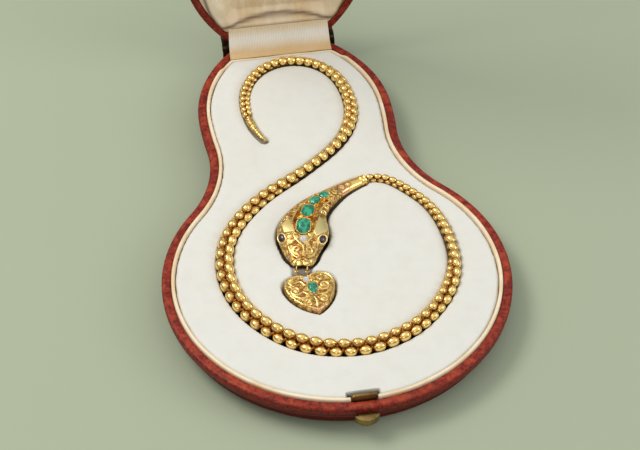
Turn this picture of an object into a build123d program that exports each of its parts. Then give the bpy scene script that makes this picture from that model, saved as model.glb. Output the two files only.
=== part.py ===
"""A snake necklace lying open in its gourd shaped, leather covered case, with the lid open.

Millimetres, +Z up. The origin is on the table, under the centre of the case's big lobe. +Y runs along the
case to the hinge and +X is to the right, seen from the front. The lid is drawn closed and turned open.
"""
import os
from math import asin, atan2, cos, degrees, hypot, pi, radians, sin, tan

from build123d import *

# Case outline, where the leather rim meets the cream flange
LOBE_R = 54.0
WAIST_X = 30.9
WAIST_Y = 64.0
SHOULDER_X = 32.0
SHOULDER_Y = 84.0
BACK_R = 50.0
BACK_Y = 117.5
BACK_CORNER_R = 2.0

# Case base
RIM_Z = 10.5
RIM_W = 3.0
BACK_RIM_W = 4.8
LIP_H = 1.5
ROLL_R = 5.5
ROLL_TURN = 60.0
FOOT_SLOPE = 30.0
BACK_SHARE = 0.35
FLOOR_Z = 1.6
SEAM_GAP = 0.15
FLANGE_T = 1.2
FLANGE_RISE = 0.8
FLANGE_BACK_DROP = 0.3
PAD_RISE = 0.2

# Lid, drawn closed
LID_GAP = 0.2
LID_LIP_H = 3.0
LID_H = 14.0
LID_SIDE_WALL = 2.65
LID_TOP_WALL = 2.3
LID_OPEN = 91.0
LINING_DROP = 1.0
LINING_RIM_W = 0.8
LINING_DEPTH = 7.2
LINING_SLOPE_W = 8.2
LINING_BACK_Y = 115.6
LINING_BACK_SLOPE = 1.5

# Hinges and ribbon
HINGE_Y = 124.2
HINGE_X = 17.5
KNUCKLE_R = 1.35
KNUCKLE_L = 2.4
KNUCKLE_GAP = 0.2
PIN_R = 0.55
PIN_FIT = 0.05
LEAF_T = 0.45
LEAF_H = 5.0
RIBBON_W = 38.4
RIBBON_T = 0.5
RIBBON_FOOT = (118.3, 0.4)
RIBBON_HEAD = (123.6, 8.6)

# Push catch and its keeper
CATCH_X = -1.2
CATCH_Y = -53.6
CATCH_W = 8.0
CATCH_T = 1.0
CATCH_RISE = 2.0
CATCH_DROP = 4.4
CATCH_TRAVEL = 1.0
STEM_W = 5.4
STEM_H = 1.6
STEM_DROP = 3.2
BUTTON_W = 7.6
BUTTON_OUT = 2.3
BUTTON_H = 2.4
CATCH_FIT = 0.25
KEEPER_T = 0.9
KEEPER_H = 4.0
KEEPER_RISE = 0.5

PAD_Z = RIM_Z + PAD_RISE
HINGE_LINE = Axis((0, HINGE_Y, RIM_Z), (1, 0, 0))

# Route of the chain's middle, from the neck collar to the tail
ROUTE = [
    (17.3, 42.7), (24.4, 41.8), (30.2, 36.2), (35.5, 28.4), (38.8, 18.4), (39.7, 9.0), (38.8, -1.3),
    (34.9, -11.7), (29.1, -19.7), (21.8, -26.3), (13.5, -30.6), (5.1, -32.8), (-3.4, -32.6), (-11.6, -30.5),
    (-19.7, -25.9), (-26.6, -18.9), (-32.2, -9.7), (-35.3, 1.2), (-35.1, 13.1), (-31.2, 24.6), (-24.2, 34.0),
    (-15.7, 41.6), (-6.4, 47.9), (3.3, 55.2), (12.6, 64.3), (18.9, 76.5), (20.0, 89.8), (16.9, 101.8),
    (9.9, 109.5), (0.7, 111.8), (-8.8, 108.2), (-15.8, 98.5), (-17.7, 85.2), (-16.3, 76.0), (-13.4, 69.0),
]

# Chain rows: distance along the route, width, pitch, turn of the link's face
CHAIN_ROWS = [
    (0.0, 3.0, 2.7, 75.0),
    (20.0, 3.3, 3.05, 65.0),
    (45.0, 4.1, 3.7, 60.0),
    (75.0, 5.0, 4.1, 50.0),
    (100.0, 5.5, 4.4, 20.0),
    (125.0, 5.7, 4.6, 5.0),
    (165.0, 5.7, 4.7, 0.0),
    (195.0, 5.3, 4.4, -10.0),
    (217.0, 4.8, 4.1, -30.0),
    (235.0, 4.5, 3.9, -85.0),
    (262.0, 4.6, 3.8, -150.0),
    (280.0, 4.5, 3.7, -200.0),
    (300.0, 4.2, 3.4, -260.0),
    (322.0, 3.9, 3.1, -290.0),
    (346.0, 3.3, 2.7, -330.0),
]
CHAIN_START = 2.6
CHAIN_END = 345.0
CHAIN_SPLIT = 172.0
CHAIN_RISE = 0.15
LINK_SIDES = 12
WIRE_SIDES = 5
LINK_REACH = 0.285
LINK_SPREAD = 0.58
LINK_LIFT = -0.62
LINK_LOBE_R = 0.41
LINK_END_R = 0.2
GROOVE_FIT = 0.55
GROOVE_STEPS = 46

# Tail tip rows: distance from the chain's end, radius
TAIL_ROWS = [(2.4, 1.15), (4.2, 1.4), (8.0, 1.2), (11.5, 0.9), (14.5, 0.6), (16.2, 0.45)]
TAIL_KNOB_R = 0.75
LOOP_R = 0.75
LOOP_WIRE_R = 0.22

# Head rows: middle in plan, width, top and bottom above the pad
HEAD_ROWS = [
    (-10.75, 4.7, 6.4, 2.3, -1.0),
    (-10.4, 6.3, 8.6, 3.1, -1.5),
    (-9.9, 10.2, 12.0, 4.1, -1.9),
    (-8.8, 16.0, 16.0, 4.9, -2.1),
    (-6.8, 22.9, 16.2, 5.3, -2.1),
    (-4.4, 27.6, 12.4, 5.0, -2.0),
    (-1.6, 30.9, 9.8, 4.5, -1.8),
    (2.8, 34.4, 7.2, 3.7, -1.6),
    (7.9, 38.0, 5.3, 2.8, -1.4),
    (12.6, 40.6, 4.4, 2.2, -1.2),
    (16.2, 42.1, 3.6, 1.8, -1.1),
]
RECESS_FIT = 0.8
MOUTH_W = 5.0
MOUTH_OUT = 1.2
MOUTH_IN = 1.5
MOUTH_TOP = 1.6
MOUTH_BAR_R = 0.22
MOUTH_BAR_Y = 0.2
COLLAR_BACK = 0.7
COLLAR_FRONT = 1.4
COLLAR_R = 1.95

# Crown stones: name, x, y, girdle height above the pad, width, length, heading, tilt to the snout
CROWN_STONES = [
    ("emerald_1", -7.9, 18.7, 5.1, 4.7, 6.0, 14.0, 14.0),
    ("emerald_2", -5.3, 25.5, 5.3, 4.3, 5.4, 25.0, 4.0),
    ("emerald_3", -2.1, 30.5, 4.7, 3.4, 4.3, 38.0, 0.0),
    ("emerald_4", 1.5, 33.3, 4.1, 3.4, 3.5, 48.0, 0.0),
    ("brow_diamond", -8.9, 13.1, 4.5, 2.4, 2.7, 12.0, 20.0),
]
# Stone sections: depth and size as shares of the girdle
STONE_SECTIONS = [(-0.42, 0.3), (0.0, 1.0), (0.2, 0.62)]
STONE_CORNER = 0.28
STONE_FIT = 0.06
SEAT_DROP = 0.46
COLLET_DROP = 0.8
COLLET_RISE = 0.06
COLLET_W = 0.45
CROWN_DEPTH = 1.2
CROWN_MARGIN = 1.4
EYE_SPREAD = 6.7
EYE_X = -9.05
EYE_Y = 14.6
EYE_Z = 2.9
EYE_W = 2.4
EYE_L = 3.0
EYE_FACING = (0.75, -0.3, 0.55)
HEAD_HEADING = 12.0

# Heart pendant
HEART_X = -9.5
HEART_Y = -7.5
HEART_HEADING = -6.0
HEART_HALF_W = 8.4
HEART_SIDE_Y = 3.2
HEART_FLANK = (6.2, -3.3)
HEART_LOBE = (4.4, 8.1)
HEART_NOTCH_Y = 6.3
HEART_TIP_Y = -8.9
HEART_TOP = 1.5
HEART_BOTTOM = -1.8
HEART_BORDER = 1.1
HEART_SINK = 0.35
HEART_STONES = [
    ("heart_emerald", -9.0, -6.2, 1.5, 3.3, 4.2, -8.0, 8.0),
    ("heart_diamond", -10.6, -2.3, 1.5, 2.2, 2.6, -8.0, 0.0),
]
RING_R = 1.2
RING_WIRE_R = 0.24
RING_X = 1.75
RING_Y = -0.4
RING_Z = 0.0
EYELET_R = 0.7
EYELET_WIRE_R = 0.22
EYELET_Y = -1.6
EYELET_STEM = 3.2
CLASP_W = 3.4
CLASP_L = 5.0
CLASP_DROP = 3.7
CLASP_TOP = -2.2
CLASP_Y = 15.0

LEATHER = Color(0.55, 0.2, 0.12)
SILK = Color(0.87, 0.8, 0.68)
VELVET = Color(0.88, 0.88, 0.86)
GOLD = Color(0.85, 0.65, 0.25)
BRASS = Color(0.6, 0.48, 0.25)
EMERALD = Color(0.0, 0.55, 0.32)
DIAMOND = Color(0.92, 0.94, 0.96)
GARNET = Color(0.25, 0.03, 0.05)


def gourd(height, grow, back=None):
    """Face of the case outline at a height, grown out from the rim's inner edge."""
    back = grow if back is None else back
    waist_r = (WAIST_X**2 + WAIST_Y**2 - LOBE_R**2) / (2 * (LOBE_R - WAIST_X))
    waist = (WAIST_X + waist_r, WAIST_Y)
    reach = waist[0] - SHOULDER_X
    rise = SHOULDER_Y - WAIST_Y
    shoulder_r = (reach**2 + rise**2 - waist_r**2) / (2 * (waist_r - reach))
    shoulder = (SHOULDER_X - shoulder_r, SHOULDER_Y)
    lobe_turn = degrees(atan2(waist[1], waist[0]))
    waist_turn = degrees(atan2(shoulder[1] - waist[1], shoulder[0] - waist[0]))
    back_turn = degrees(asin((BACK_Y + back - SHOULDER_Y) / (BACK_R + grow)))
    corner_x = SHOULDER_X - BACK_R + (BACK_R + grow) * cos(radians(back_turn))
    with BuildSketch(Plane.XY.offset(height)) as outline:
        with BuildLine():
            CenterArc((0, 0), LOBE_R + grow, -90, lobe_turn + 90)
            CenterArc(waist, waist_r - grow, lobe_turn + 180, waist_turn - lobe_turn - 180)
            CenterArc(shoulder, shoulder_r + grow, waist_turn - 180, 180 - waist_turn)
            CenterArc((SHOULDER_X - BACK_R, SHOULDER_Y), BACK_R + grow, 0, back_turn)
            mirror(about=Plane.YZ)
            Line((corner_x, BACK_Y + back), (-corner_x, BACK_Y + back))
        make_face()
        fillet(outline.vertices().group_by(Axis.Y)[-1], BACK_CORNER_R)
    return outline.sketch


def rolled_edge(lip, roll, height):
    """Rows of a wall that stands, rolls under and slopes in: depth, inset, and the steeper back's inset."""
    rows = [(0.0, 0.0, 0.0), (lip, 0.0, 0.0)]
    for step in (1, 2, 3):
        turn = radians(ROLL_TURN * step / 3)
        rows.append((lip + roll * sin(turn), roll * (1 - cos(turn)), 0.0))
    depth, inset, _ = rows[-1]
    slope_in = (height - depth) / tan(radians(FOOT_SLOPE))
    rows.append((height, inset + slope_in, BACK_SHARE * slope_in))
    return rows


def finish(piece, name, color):
    """Label, colour and write one piece."""
    piece.label = name
    piece.color = color
    export_step(piece, f"parts/{name}.step")


def opened(piece):
    """A piece of the lid, turned from closed to open."""
    return piece.rotate(HINGE_LINE, -LID_OPEN)


def row_at(rows, along):
    """A table row worked out at a distance between two of its rows."""
    for low, high in zip(rows, rows[1:]):
        if along <= high[0]:
            break
    share = min(max((along - low[0]) / (high[0] - low[0]), 0.0), 1.0)
    share = (1 - cos(pi * share)) / 2
    return [a + (b - a) * share for a, b in zip(low, high)]


def trench(stations, top):
    """Cut a trench whose middle, half width and floor change from station to station."""
    sides = []
    for here, (x, y, half, floor) in enumerate(stations):
        before = stations[max(here - 1, 0)]
        after = stations[min(here + 1, len(stations) - 1)]
        run = hypot(after[0] - before[0], after[1] - before[1])
        across = ((before[1] - after[1]) / run * half, (after[0] - before[0]) / run * half)
        sides.append(((x + across[0], y + across[1]), (x - across[0], y - across[1]), floor))
    for (left, right, floor), (next_left, next_right, next_floor) in zip(sides, sides[1:]):
        with BuildSketch(Plane.XY.offset(top)) as cut:
            with BuildLine():
                Polyline(left, next_left, next_right, right, close=True)
            make_face()
        extrude(cut.sketch, amount=min(floor, next_floor) - top, mode=Mode.SUBTRACT)


def laid_plane(x, y, height, heading, tilt=0.0):
    """Plane above the pad whose Y points along a heading from +Y, leaning back from what it faces."""
    turn = radians(heading)
    lean = radians(tilt)
    facing = (-sin(turn) * sin(lean), -cos(turn) * sin(lean), cos(lean))
    return Plane(origin=(x, y, PAD_Z + height), x_dir=(cos(turn), -sin(turn), 0), z_dir=facing)


def cut_corner(plane, width, length):
    """Oblong with its corners cut, as an emerald is cut."""
    with BuildSketch(plane) as shape:
        Rectangle(width, length)
        chamfer(shape.vertices(), min(width, length) * STONE_CORNER)
    return shape.sketch


def stone(name, plane, width, length, color):
    """A cut stone with its table, girdle and culet."""
    with BuildPart() as gem:
        loft([cut_corner(plane.offset(depth * width), width * share, length * share)
              for depth, share in STONE_SECTIONS], ruled=True)
    finish(gem.part, name, color)


def collet(plane, width, length):
    """Collet wall round a stone, added to the piece being made."""
    foot = cut_corner(plane.offset(-COLLET_DROP * width), width + 2 * COLLET_W, length + 2 * COLLET_W)
    extrude(foot, amount=(COLLET_DROP + COLLET_RISE) * width)


def stone_seat(plane, width, length):
    """Pocket for a stone, cut from the piece being made."""
    floor = cut_corner(plane.offset(-SEAT_DROP * width), width + 2 * STONE_FIT, length + 2 * STONE_FIT)
    extrude(floor, amount=SEAT_DROP * width + 2 * CROWN_DEPTH, mode=Mode.SUBTRACT)


def heart_outline(plane, grow=0.0):
    """Heart face on a plane, enlarged until its sides stand further out."""
    size = 1 + grow / HEART_HALF_W
    notch = (0, HEART_NOTCH_Y * size)
    lobe = (HEART_LOBE[0] * size, HEART_LOBE[1] * size)
    corner = (HEART_HALF_W * size, HEART_SIDE_Y * size)
    flank = (HEART_FLANK[0] * size, HEART_FLANK[1] * size)
    with BuildSketch(plane) as shape:
        with BuildLine():
            ThreePointArc(notch, lobe, corner)
            ThreePointArc(corner, flank, (0, HEART_TIP_Y * size))
            mirror(about=Plane.YZ)
        make_face()
    return shape.sketch


def stance(route, along):
    """Where a link sits on the route: its middle, the way ahead, its turned side, its width and pitch."""
    _, width, pitch, turn = row_at(CHAIN_ROWS, along)
    spot = route.position_at(along, position_mode=PositionMode.LENGTH)
    ahead = route.tangent_at(along, position_mode=PositionMode.LENGTH)
    side = Vector(0, 0, 1).cross(ahead).normalized().rotate(Axis((0, 0, 0), ahead), turn)
    middle = Vector(spot.X, spot.Y, PAD_Z + CHAIN_RISE * width / 2)
    return middle, ahead, side, width, pitch


def link_reach(width, pitch):
    """Distance from a link's middle to the wire at its end."""
    return pitch / 2 + LINK_REACH * width / 2


def link(middle, ahead, side, width, pitch):
    """One puffed curb link: a twisted oval ring, thick at its sides and thin at its ends."""
    half = width / 2
    reach = link_reach(width, pitch)
    spread = LINK_SPREAD * half
    lift = LINK_LIFT * half
    up = ahead.cross(side)
    rings = []
    for step in range(LINK_SIDES):
        angle = 2 * pi * (step + 0.5) / LINK_SIDES
        out = ahead * (reach * cos(angle)) + side * (spread * sin(angle)) + up * (lift * sin(2 * angle))
        along = ahead * (-reach * sin(angle)) + side * (spread * cos(angle)) + up * (2 * lift * cos(2 * angle))
        along = along.normalized()
        radial = (out - along * out.dot(along)).normalized()
        beside = along.cross(radial)
        wire_r = half * (LINK_END_R + (LINK_LOBE_R - LINK_END_R) * sin(angle) ** 2)
        corners = [2 * pi * corner / WIRE_SIDES for corner in range(WIRE_SIDES)]
        rings.append([middle + out + (radial * cos(a) + beside * sin(a)) * wire_r for a in corners])
    faces = []
    for ring, following in zip(rings, rings[1:] + rings[:1]):
        for corner in range(WIRE_SIDES):
            near = (corner + 1) % WIRE_SIDES
            faces.append(Face(Wire.make_polygon([ring[corner], following[corner], following[near]])))
            faces.append(Face(Wire.make_polygon([ring[corner], following[near], ring[near]])))
    return Solid(Shell(faces))


def link_spots(route):
    """Distances of the links along the route."""
    spots = []
    along = CHAIN_START
    while along <= CHAIN_END:
        spots.append(along)
        along += row_at(CHAIN_ROWS, along)[2]
    return spots


def end_loop(route, along, end):
    """Small ring through the back (-1) or front (1) end of a link, added to the piece being made."""
    middle, ahead, side, width, pitch = stance(route, along)
    wire_way = side * (end * LINK_SPREAD) + ahead.cross(side) * (2 * LINK_LIFT)
    with Locations(Plane(origin=middle + ahead * (end * link_reach(width, pitch)), z_dir=wire_way)):
        Torus(LOOP_R, LOOP_WIRE_R)


def base_shell():
    """Leather covered tray, dished underneath, with the catch's slot through its front wall."""
    with BuildPart() as case_base:
        rows = reversed(rolled_edge(LIP_H, ROLL_R, RIM_Z))
        loft([gourd(RIM_Z - depth, RIM_W - inset, BACK_RIM_W - back_inset)
              for depth, inset, back_inset in rows], ruled=True)
        extrude(gourd(FLOOR_Z, 0.0), amount=RIM_Z, mode=Mode.SUBTRACT)
        slot = Plane(origin=(CATCH_X, CATCH_T - LOBE_R, RIM_Z - STEM_DROP), x_dir=(1, 0, 0), z_dir=(0, -1, 0))
        with BuildSketch(slot):
            Rectangle(STEM_W + 2 * CATCH_FIT, STEM_H + 2 * CATCH_FIT)
        extrude(amount=RIM_W + 2 * CATCH_T, mode=Mode.SUBTRACT)
    finish(case_base.part, "case_base", LEATHER)


def base_flange():
    """Cream edge that stands inside the rim, low at the back and notched for the catch."""
    with BuildPart() as flange:
        extrude(gourd(FLOOR_Z + SEAM_GAP, -SEAM_GAP), amount=RIM_Z + FLANGE_RISE - FLOOR_Z - SEAM_GAP)
        extrude(gourd(FLOOR_Z, -SEAM_GAP - FLANGE_T), amount=2 * RIM_Z, mode=Mode.SUBTRACT)
        with BuildSketch(Plane.XY.offset(RIM_Z - FLANGE_BACK_DROP)):
            with Locations((0, BACK_Y)):
                Rectangle(2 * LOBE_R, 2 * BACK_RIM_W)
        extrude(amount=RIM_Z, mode=Mode.SUBTRACT)
        catch_room(LOBE_R + RIM_W)
    finish(flange.part, "base_flange", SILK)


def catch_room(front):
    """Room for the catch plate and its travel, cut down from above in the piece being made."""
    inner = CATCH_Y + CATCH_T + CATCH_TRAVEL + CATCH_FIT
    with BuildSketch(Plane.XY.offset(RIM_Z - CATCH_DROP - CATCH_FIT)) as room:
        with Locations((CATCH_X, (inner - front) / 2)):
            Rectangle(CATCH_W + 2 * CATCH_FIT, inner + front)
    extrude(room.sketch, amount=RIM_Z, mode=Mode.SUBTRACT)


def velvet_pad(route):
    """Fitted pad with a groove for the chain and recesses for the head and the heart."""
    with BuildPart() as pad:
        extrude(gourd(FLOOR_Z + SEAM_GAP, -2 * SEAM_GAP - FLANGE_T), amount=PAD_Z - FLOOR_Z - SEAM_GAP)
        catch_room(LOBE_R)
        stations = []
        for step in range(GROOVE_STEPS + 1):
            along = route.length * step / GROOVE_STEPS
            spot = route.position_at(along, position_mode=PositionMode.LENGTH)
            half = row_at(CHAIN_ROWS, along)[1] / 2
            stations.append((spot.X, spot.Y, half + GROOVE_FIT, PAD_Z - half * (1 - CHAIN_RISE) - SEAM_GAP))
        end = route.position_at(1) + route.tangent_at(1) * TAIL_KNOB_R * 2
        stations.append((end.X, end.Y, TAIL_KNOB_R + GROOVE_FIT, stations[-1][3]))
        trench(stations, PAD_Z + PAD_RISE)
        front = snout_plane().from_local_coords((0, EYELET_Y - EYELET_R - EYELET_STEM, 0))
        rows = [(front.X, front.Y, MOUTH_W / 2 + EYELET_R, PAD_Z + HEAD_ROWS[3][4])]
        for x, y, width, top, bottom in HEAD_ROWS[:-1]:
            rows.append((x, y, width / 2 + RECESS_FIT, PAD_Z + bottom - 2 * SEAM_GAP))
        end = head_station(len(HEAD_ROWS) - 1)
        collar_floor = end.origin.Z - COLLAR_R - 2 * SEAM_GAP
        for reach in (-COLLAR_BACK, COLLAR_FRONT + COLLAR_BACK):
            spot = end.offset(reach).origin
            rows.append((spot.X, spot.Y, COLLAR_R + RECESS_FIT, collar_floor))
        trench(rows, PAD_Z + PAD_RISE)
        heart_floor = laid_plane(HEART_X, HEART_Y, HEART_BOTTOM - 2 * SEAM_GAP, HEART_HEADING)
        extrude(heart_outline(heart_floor, RECESS_FIT), amount=RIM_Z, mode=Mode.SUBTRACT)
        with BuildSketch(snout_plane(-CLASP_DROP - SEAM_GAP)):
            with Locations((0, CLASP_Y)):
                Rectangle(CLASP_W + 2 * RECESS_FIT, CLASP_L + 2 * RECESS_FIT)
        extrude(amount=CLASP_DROP, mode=Mode.SUBTRACT)
    finish(pad.part, "velvet_pad", VELVET)


def push_catch():
    """Brass button, stem and catch plate in one, sliding through the front wall."""
    with BuildPart() as catch:
        with BuildSketch(Plane.XY.offset(RIM_Z - CATCH_DROP)):
            with Locations((CATCH_X, CATCH_Y + CATCH_T / 2)):
                Rectangle(CATCH_W, CATCH_T)
        extrude(amount=CATCH_DROP + CATCH_RISE)
        top_corners = catch.edges().filter_by(Axis.Y).group_by(Axis.Z)[-1]
        fillet(top_corners, CATCH_T)
        button_back = -(LOBE_R + RIM_W + CATCH_TRAVEL)
        with BuildSketch(Plane.XY.offset(RIM_Z - STEM_DROP - STEM_H / 2)):
            with Locations((CATCH_X, (CATCH_Y + button_back) / 2)):
                Rectangle(STEM_W, CATCH_Y - button_back)
        extrude(amount=STEM_H)
        with BuildSketch(Plane.XY.offset(RIM_Z - STEM_DROP - BUTTON_H / 2)):
            with BuildLine():
                left = (CATCH_X - BUTTON_W / 2, button_back)
                right = (CATCH_X + BUTTON_W / 2, button_back)
                ThreePointArc(left, (CATCH_X, button_back - BUTTON_OUT), right)
                Line(right, left)
            make_face()
        extrude(amount=BUTTON_H)
    finish(catch.part, "push_catch", BRASS)


def lid_shell():
    """Hollow lid in leather, recessed at the front for its keeper."""
    base = RIM_Z + LID_GAP
    with BuildPart() as shell:
        loft([gourd(base + depth, RIM_W - inset, BACK_RIM_W - back_inset)
              for depth, inset, back_inset in rolled_edge(LID_LIP_H, ROLL_R, LID_H)], ruled=True)
        inside = RIM_W - LID_SIDE_WALL
        loft([gourd(base + depth, inside - inset, inside - back_inset)
              for depth, inset, back_inset in cavity_rows(0.0)], ruled=True, mode=Mode.SUBTRACT)
        keeper_block(SEAM_GAP / 2, Mode.SUBTRACT)
    finish(opened(shell.part), "lid_shell", LEATHER)


def cavity_rows(gap):
    """Rolled edge of the lid's cavity, or of what lines it with a gap."""
    return rolled_edge(LID_LIP_H, ROLL_R - LID_SIDE_WALL - gap, LID_H - LID_TOP_WALL - gap)


def keeper_block(gap, mode=Mode.ADD):
    """The keeper's block, or the room for it with a gap round it."""
    face = CATCH_Y - CATCH_FIT / 2
    with BuildSketch(Plane.XY.offset(RIM_Z + KEEPER_RISE - gap)) as block:
        with Locations((CATCH_X, face - KEEPER_T / 2)):
            Rectangle(CATCH_W + 2 * gap, KEEPER_T + 2 * gap)
    extrude(block.sketch, amount=KEEPER_H + 2 * gap, mode=mode)


def lid_keeper():
    """Plain plate in the lid that the catch meets."""
    with BuildPart() as keeper:
        keeper_block(0.0)
    finish(opened(keeper.part), "lid_keeper", BRASS)


def lid_lining():
    """Padded silk lining of the lid, with sloping sides and room for the catch."""
    base = RIM_Z + LID_GAP
    with BuildPart() as lining:
        inside = RIM_W - LID_SIDE_WALL - SEAM_GAP
        rows = cavity_rows(SEAM_GAP)
        rows[0] = (LINING_DROP, 0.0, 0.0)
        loft([gourd(base + depth, inside - inset, inside - back_inset)
              for depth, inset, back_inset in rows], ruled=True)
        back = LINING_BACK_Y - BACK_Y
        mouth = gourd(base + LINING_DROP, -LINING_RIM_W, back)
        floor_grow = -LINING_RIM_W - LINING_SLOPE_W
        floor = gourd(base + LINING_DROP + LINING_DEPTH, floor_grow, back - LINING_BACK_SLOPE)
        loft([mouth, floor], ruled=True, mode=Mode.SUBTRACT)
        inner = CATCH_Y + CATCH_T + CATCH_TRAVEL + CATCH_FIT
        with BuildSketch(Plane.XY.offset(RIM_Z)):
            with Locations((CATCH_X, (inner - LOBE_R - RIM_W) / 2)):
                Rectangle(CATCH_W + 2 * CATCH_FIT, inner + LOBE_R + RIM_W)
        extrude(amount=KEEPER_RISE + KEEPER_H + CATCH_FIT, mode=Mode.SUBTRACT)
    finish(opened(lining.part), "lid_lining", SILK)


def hinge_leaf(side, up, knuckles, pinned):
    """Half a hinge: its leaf on a back face, the knuckles it carries, and the pin or the pin's bore."""
    middle = side * HINGE_X
    width = 3 * KNUCKLE_L + 2 * KNUCKLE_GAP
    back = BACK_Y + BACK_RIM_W
    with BuildPart() as leaf:
        foot = RIM_Z + (LID_GAP if up > 0 else -LEAF_H)
        with BuildSketch(Plane.XY.offset(foot)):
            with Locations((middle, back + LEAF_T / 2)):
                Rectangle(width, LEAF_T)
        extrude(amount=LEAF_H if up < 0 else LEAF_H - LID_GAP)
        for place in knuckles:
            start = middle + place * (KNUCKLE_L + KNUCKLE_GAP) - KNUCKLE_L / 2
            with BuildSketch(Plane.YZ.offset(start)):
                with Locations((HINGE_Y, RIM_Z)):
                    Circle(KNUCKLE_R)
                web_w = HINGE_Y - back - LEAF_T / 2
                with Locations((HINGE_Y - web_w / 2, RIM_Z + up * KNUCKLE_R * 0.55)):
                    Rectangle(web_w, KNUCKLE_R * 0.7)
            extrude(amount=KNUCKLE_L)
        with BuildSketch(Plane.YZ.offset(middle - width / 2)):
            with Locations((HINGE_Y, RIM_Z)):
                Circle(PIN_R if pinned else PIN_R + PIN_FIT)
        extrude(amount=width, mode=Mode.ADD if pinned else Mode.SUBTRACT)
    return leaf.part


def hinges():
    """Two butt hinges: base halves with two knuckles and the pin, lid halves with one bored knuckle."""
    for side, end in ((-1, "left"), (1, "right")):
        finish(hinge_leaf(side, -1, (-1, 1), True), f"hinge_base_{end}", BRASS)
        finish(opened(hinge_leaf(side, 1, (0,), False)), f"hinge_lid_{end}", BRASS)


def hinge_ribbon():
    """Ribbon that bridges the gap at the hinge, drawn with the lid open."""
    with BuildPart() as ribbon:
        with BuildSketch(Plane.YZ.offset(-RIBBON_W / 2)):
            with BuildLine():
                foot = (RIBBON_FOOT[0], RIM_Z + RIBBON_FOOT[1])
                head = (RIBBON_HEAD[0], RIM_Z + RIBBON_HEAD[1])
                Polyline(foot, (foot[0] + RIBBON_T, foot[1]), (head[0] + RIBBON_T, head[1]), head, close=True)
            make_face()
        extrude(amount=RIBBON_W)
    finish(ribbon.part, "hinge_ribbon", SILK)


def head_station(row):
    """Plane across the head at one of its rows."""
    here = HEAD_ROWS[row]
    before = HEAD_ROWS[max(row - 1, 0)]
    after = HEAD_ROWS[min(row + 1, len(HEAD_ROWS) - 1)]
    ahead = Vector(after[0] - before[0], after[1] - before[1], 0).normalized()
    middle = (here[0], here[1], PAD_Z + (here[3] + here[4]) / 2)
    return Plane(origin=middle, x_dir=ahead.cross(Vector(0, 0, 1)), z_dir=ahead)


def snout_plane(height=0.0):
    """Plane at the snout whose Y runs back along the head."""
    return laid_plane(HEAD_ROWS[0][0], HEAD_ROWS[0][1], height, HEAD_HEADING)


def eye_plane(side):
    """Plane of one eye's girdle."""
    frame = laid_plane(EYE_X, EYE_Y, EYE_Z, HEAD_HEADING)
    facing = frame.from_local_coords(Vector(side * EYE_FACING[0], EYE_FACING[1], EYE_FACING[2])) - frame.origin
    along = facing.cross(frame.z_dir)
    middle = frame.from_local_coords(Vector(side * EYE_SPREAD, 0, 0))
    return Plane(origin=middle, x_dir=along.cross(facing), z_dir=facing)


def crown_plane(row):
    """Plane of a crown stone's girdle."""
    _, x, y, height, _, _, heading, tilt = row
    return laid_plane(x, y, height, heading, tilt)


def snake_head(route):
    """Head, neck, crown recess, collets, mouth and the collar that holds the chain."""
    with BuildPart() as head:
        for row, (_, _, width, top, bottom) in enumerate(HEAD_ROWS):
            with BuildSketch(head_station(row)):
                Ellipse(width / 2, (top - bottom) / 2)
        loft()
        end = head_station(len(HEAD_ROWS) - 1)
        with BuildSketch(end.offset(-COLLAR_BACK)):
            Circle(COLLAR_R)
        extrude(amount=COLLAR_BACK + COLLAR_FRONT)
        end_loop(route, CHAIN_START, -1)
        emeralds = CROWN_STONES[:-1]
        stations = [(x, y, w / 2 + CROWN_MARGIN, PAD_Z + z - CROWN_DEPTH) for _, x, y, z, w, *_ in emeralds]
        trench(stations, PAD_Z + 2 * RIM_Z)
        for stone_row in CROWN_STONES:
            collet(crown_plane(stone_row), stone_row[4], stone_row[5])
        for eye_side in (-1, 1):
            collet(eye_plane(eye_side), EYE_W, EYE_L)
        with BuildSketch(snout_plane(MOUTH_TOP)):
            with Locations((0, (MOUTH_IN - MOUTH_OUT) / 2)):
                Rectangle(MOUTH_W, MOUTH_IN + MOUTH_OUT)
        extrude(amount=-RIM_Z, mode=Mode.SUBTRACT)
        snout = snout_plane(RING_Z)
        with BuildSketch(Plane(origin=snout.from_local_coords((0, MOUTH_BAR_Y, 0)), z_dir=snout.x_dir)):
            Circle(MOUTH_BAR_R)
        extrude(amount=MOUTH_W / 2 + MOUTH_BAR_R, both=True)
        for stone_row in CROWN_STONES:
            stone_seat(crown_plane(stone_row), stone_row[4], stone_row[5])
        for eye_side in (-1, 1):
            stone_seat(eye_plane(eye_side), EYE_W, EYE_L)
    finish(head.part, "snake_head", GOLD)


def stones():
    """Crown emeralds, brow diamond, garnet eyes and the heart's two stones."""
    for name, x, y, height, width, length, heading, tilt in CROWN_STONES + HEART_STONES:
        color = EMERALD if "emerald" in name else DIAMOND
        stone(name, laid_plane(x, y, height, heading, tilt), width, length, color)
    stone("garnet_left", eye_plane(-1), EYE_W, EYE_L, GARNET)
    stone("garnet_right", eye_plane(1), EYE_W, EYE_L, GARNET)


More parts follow.
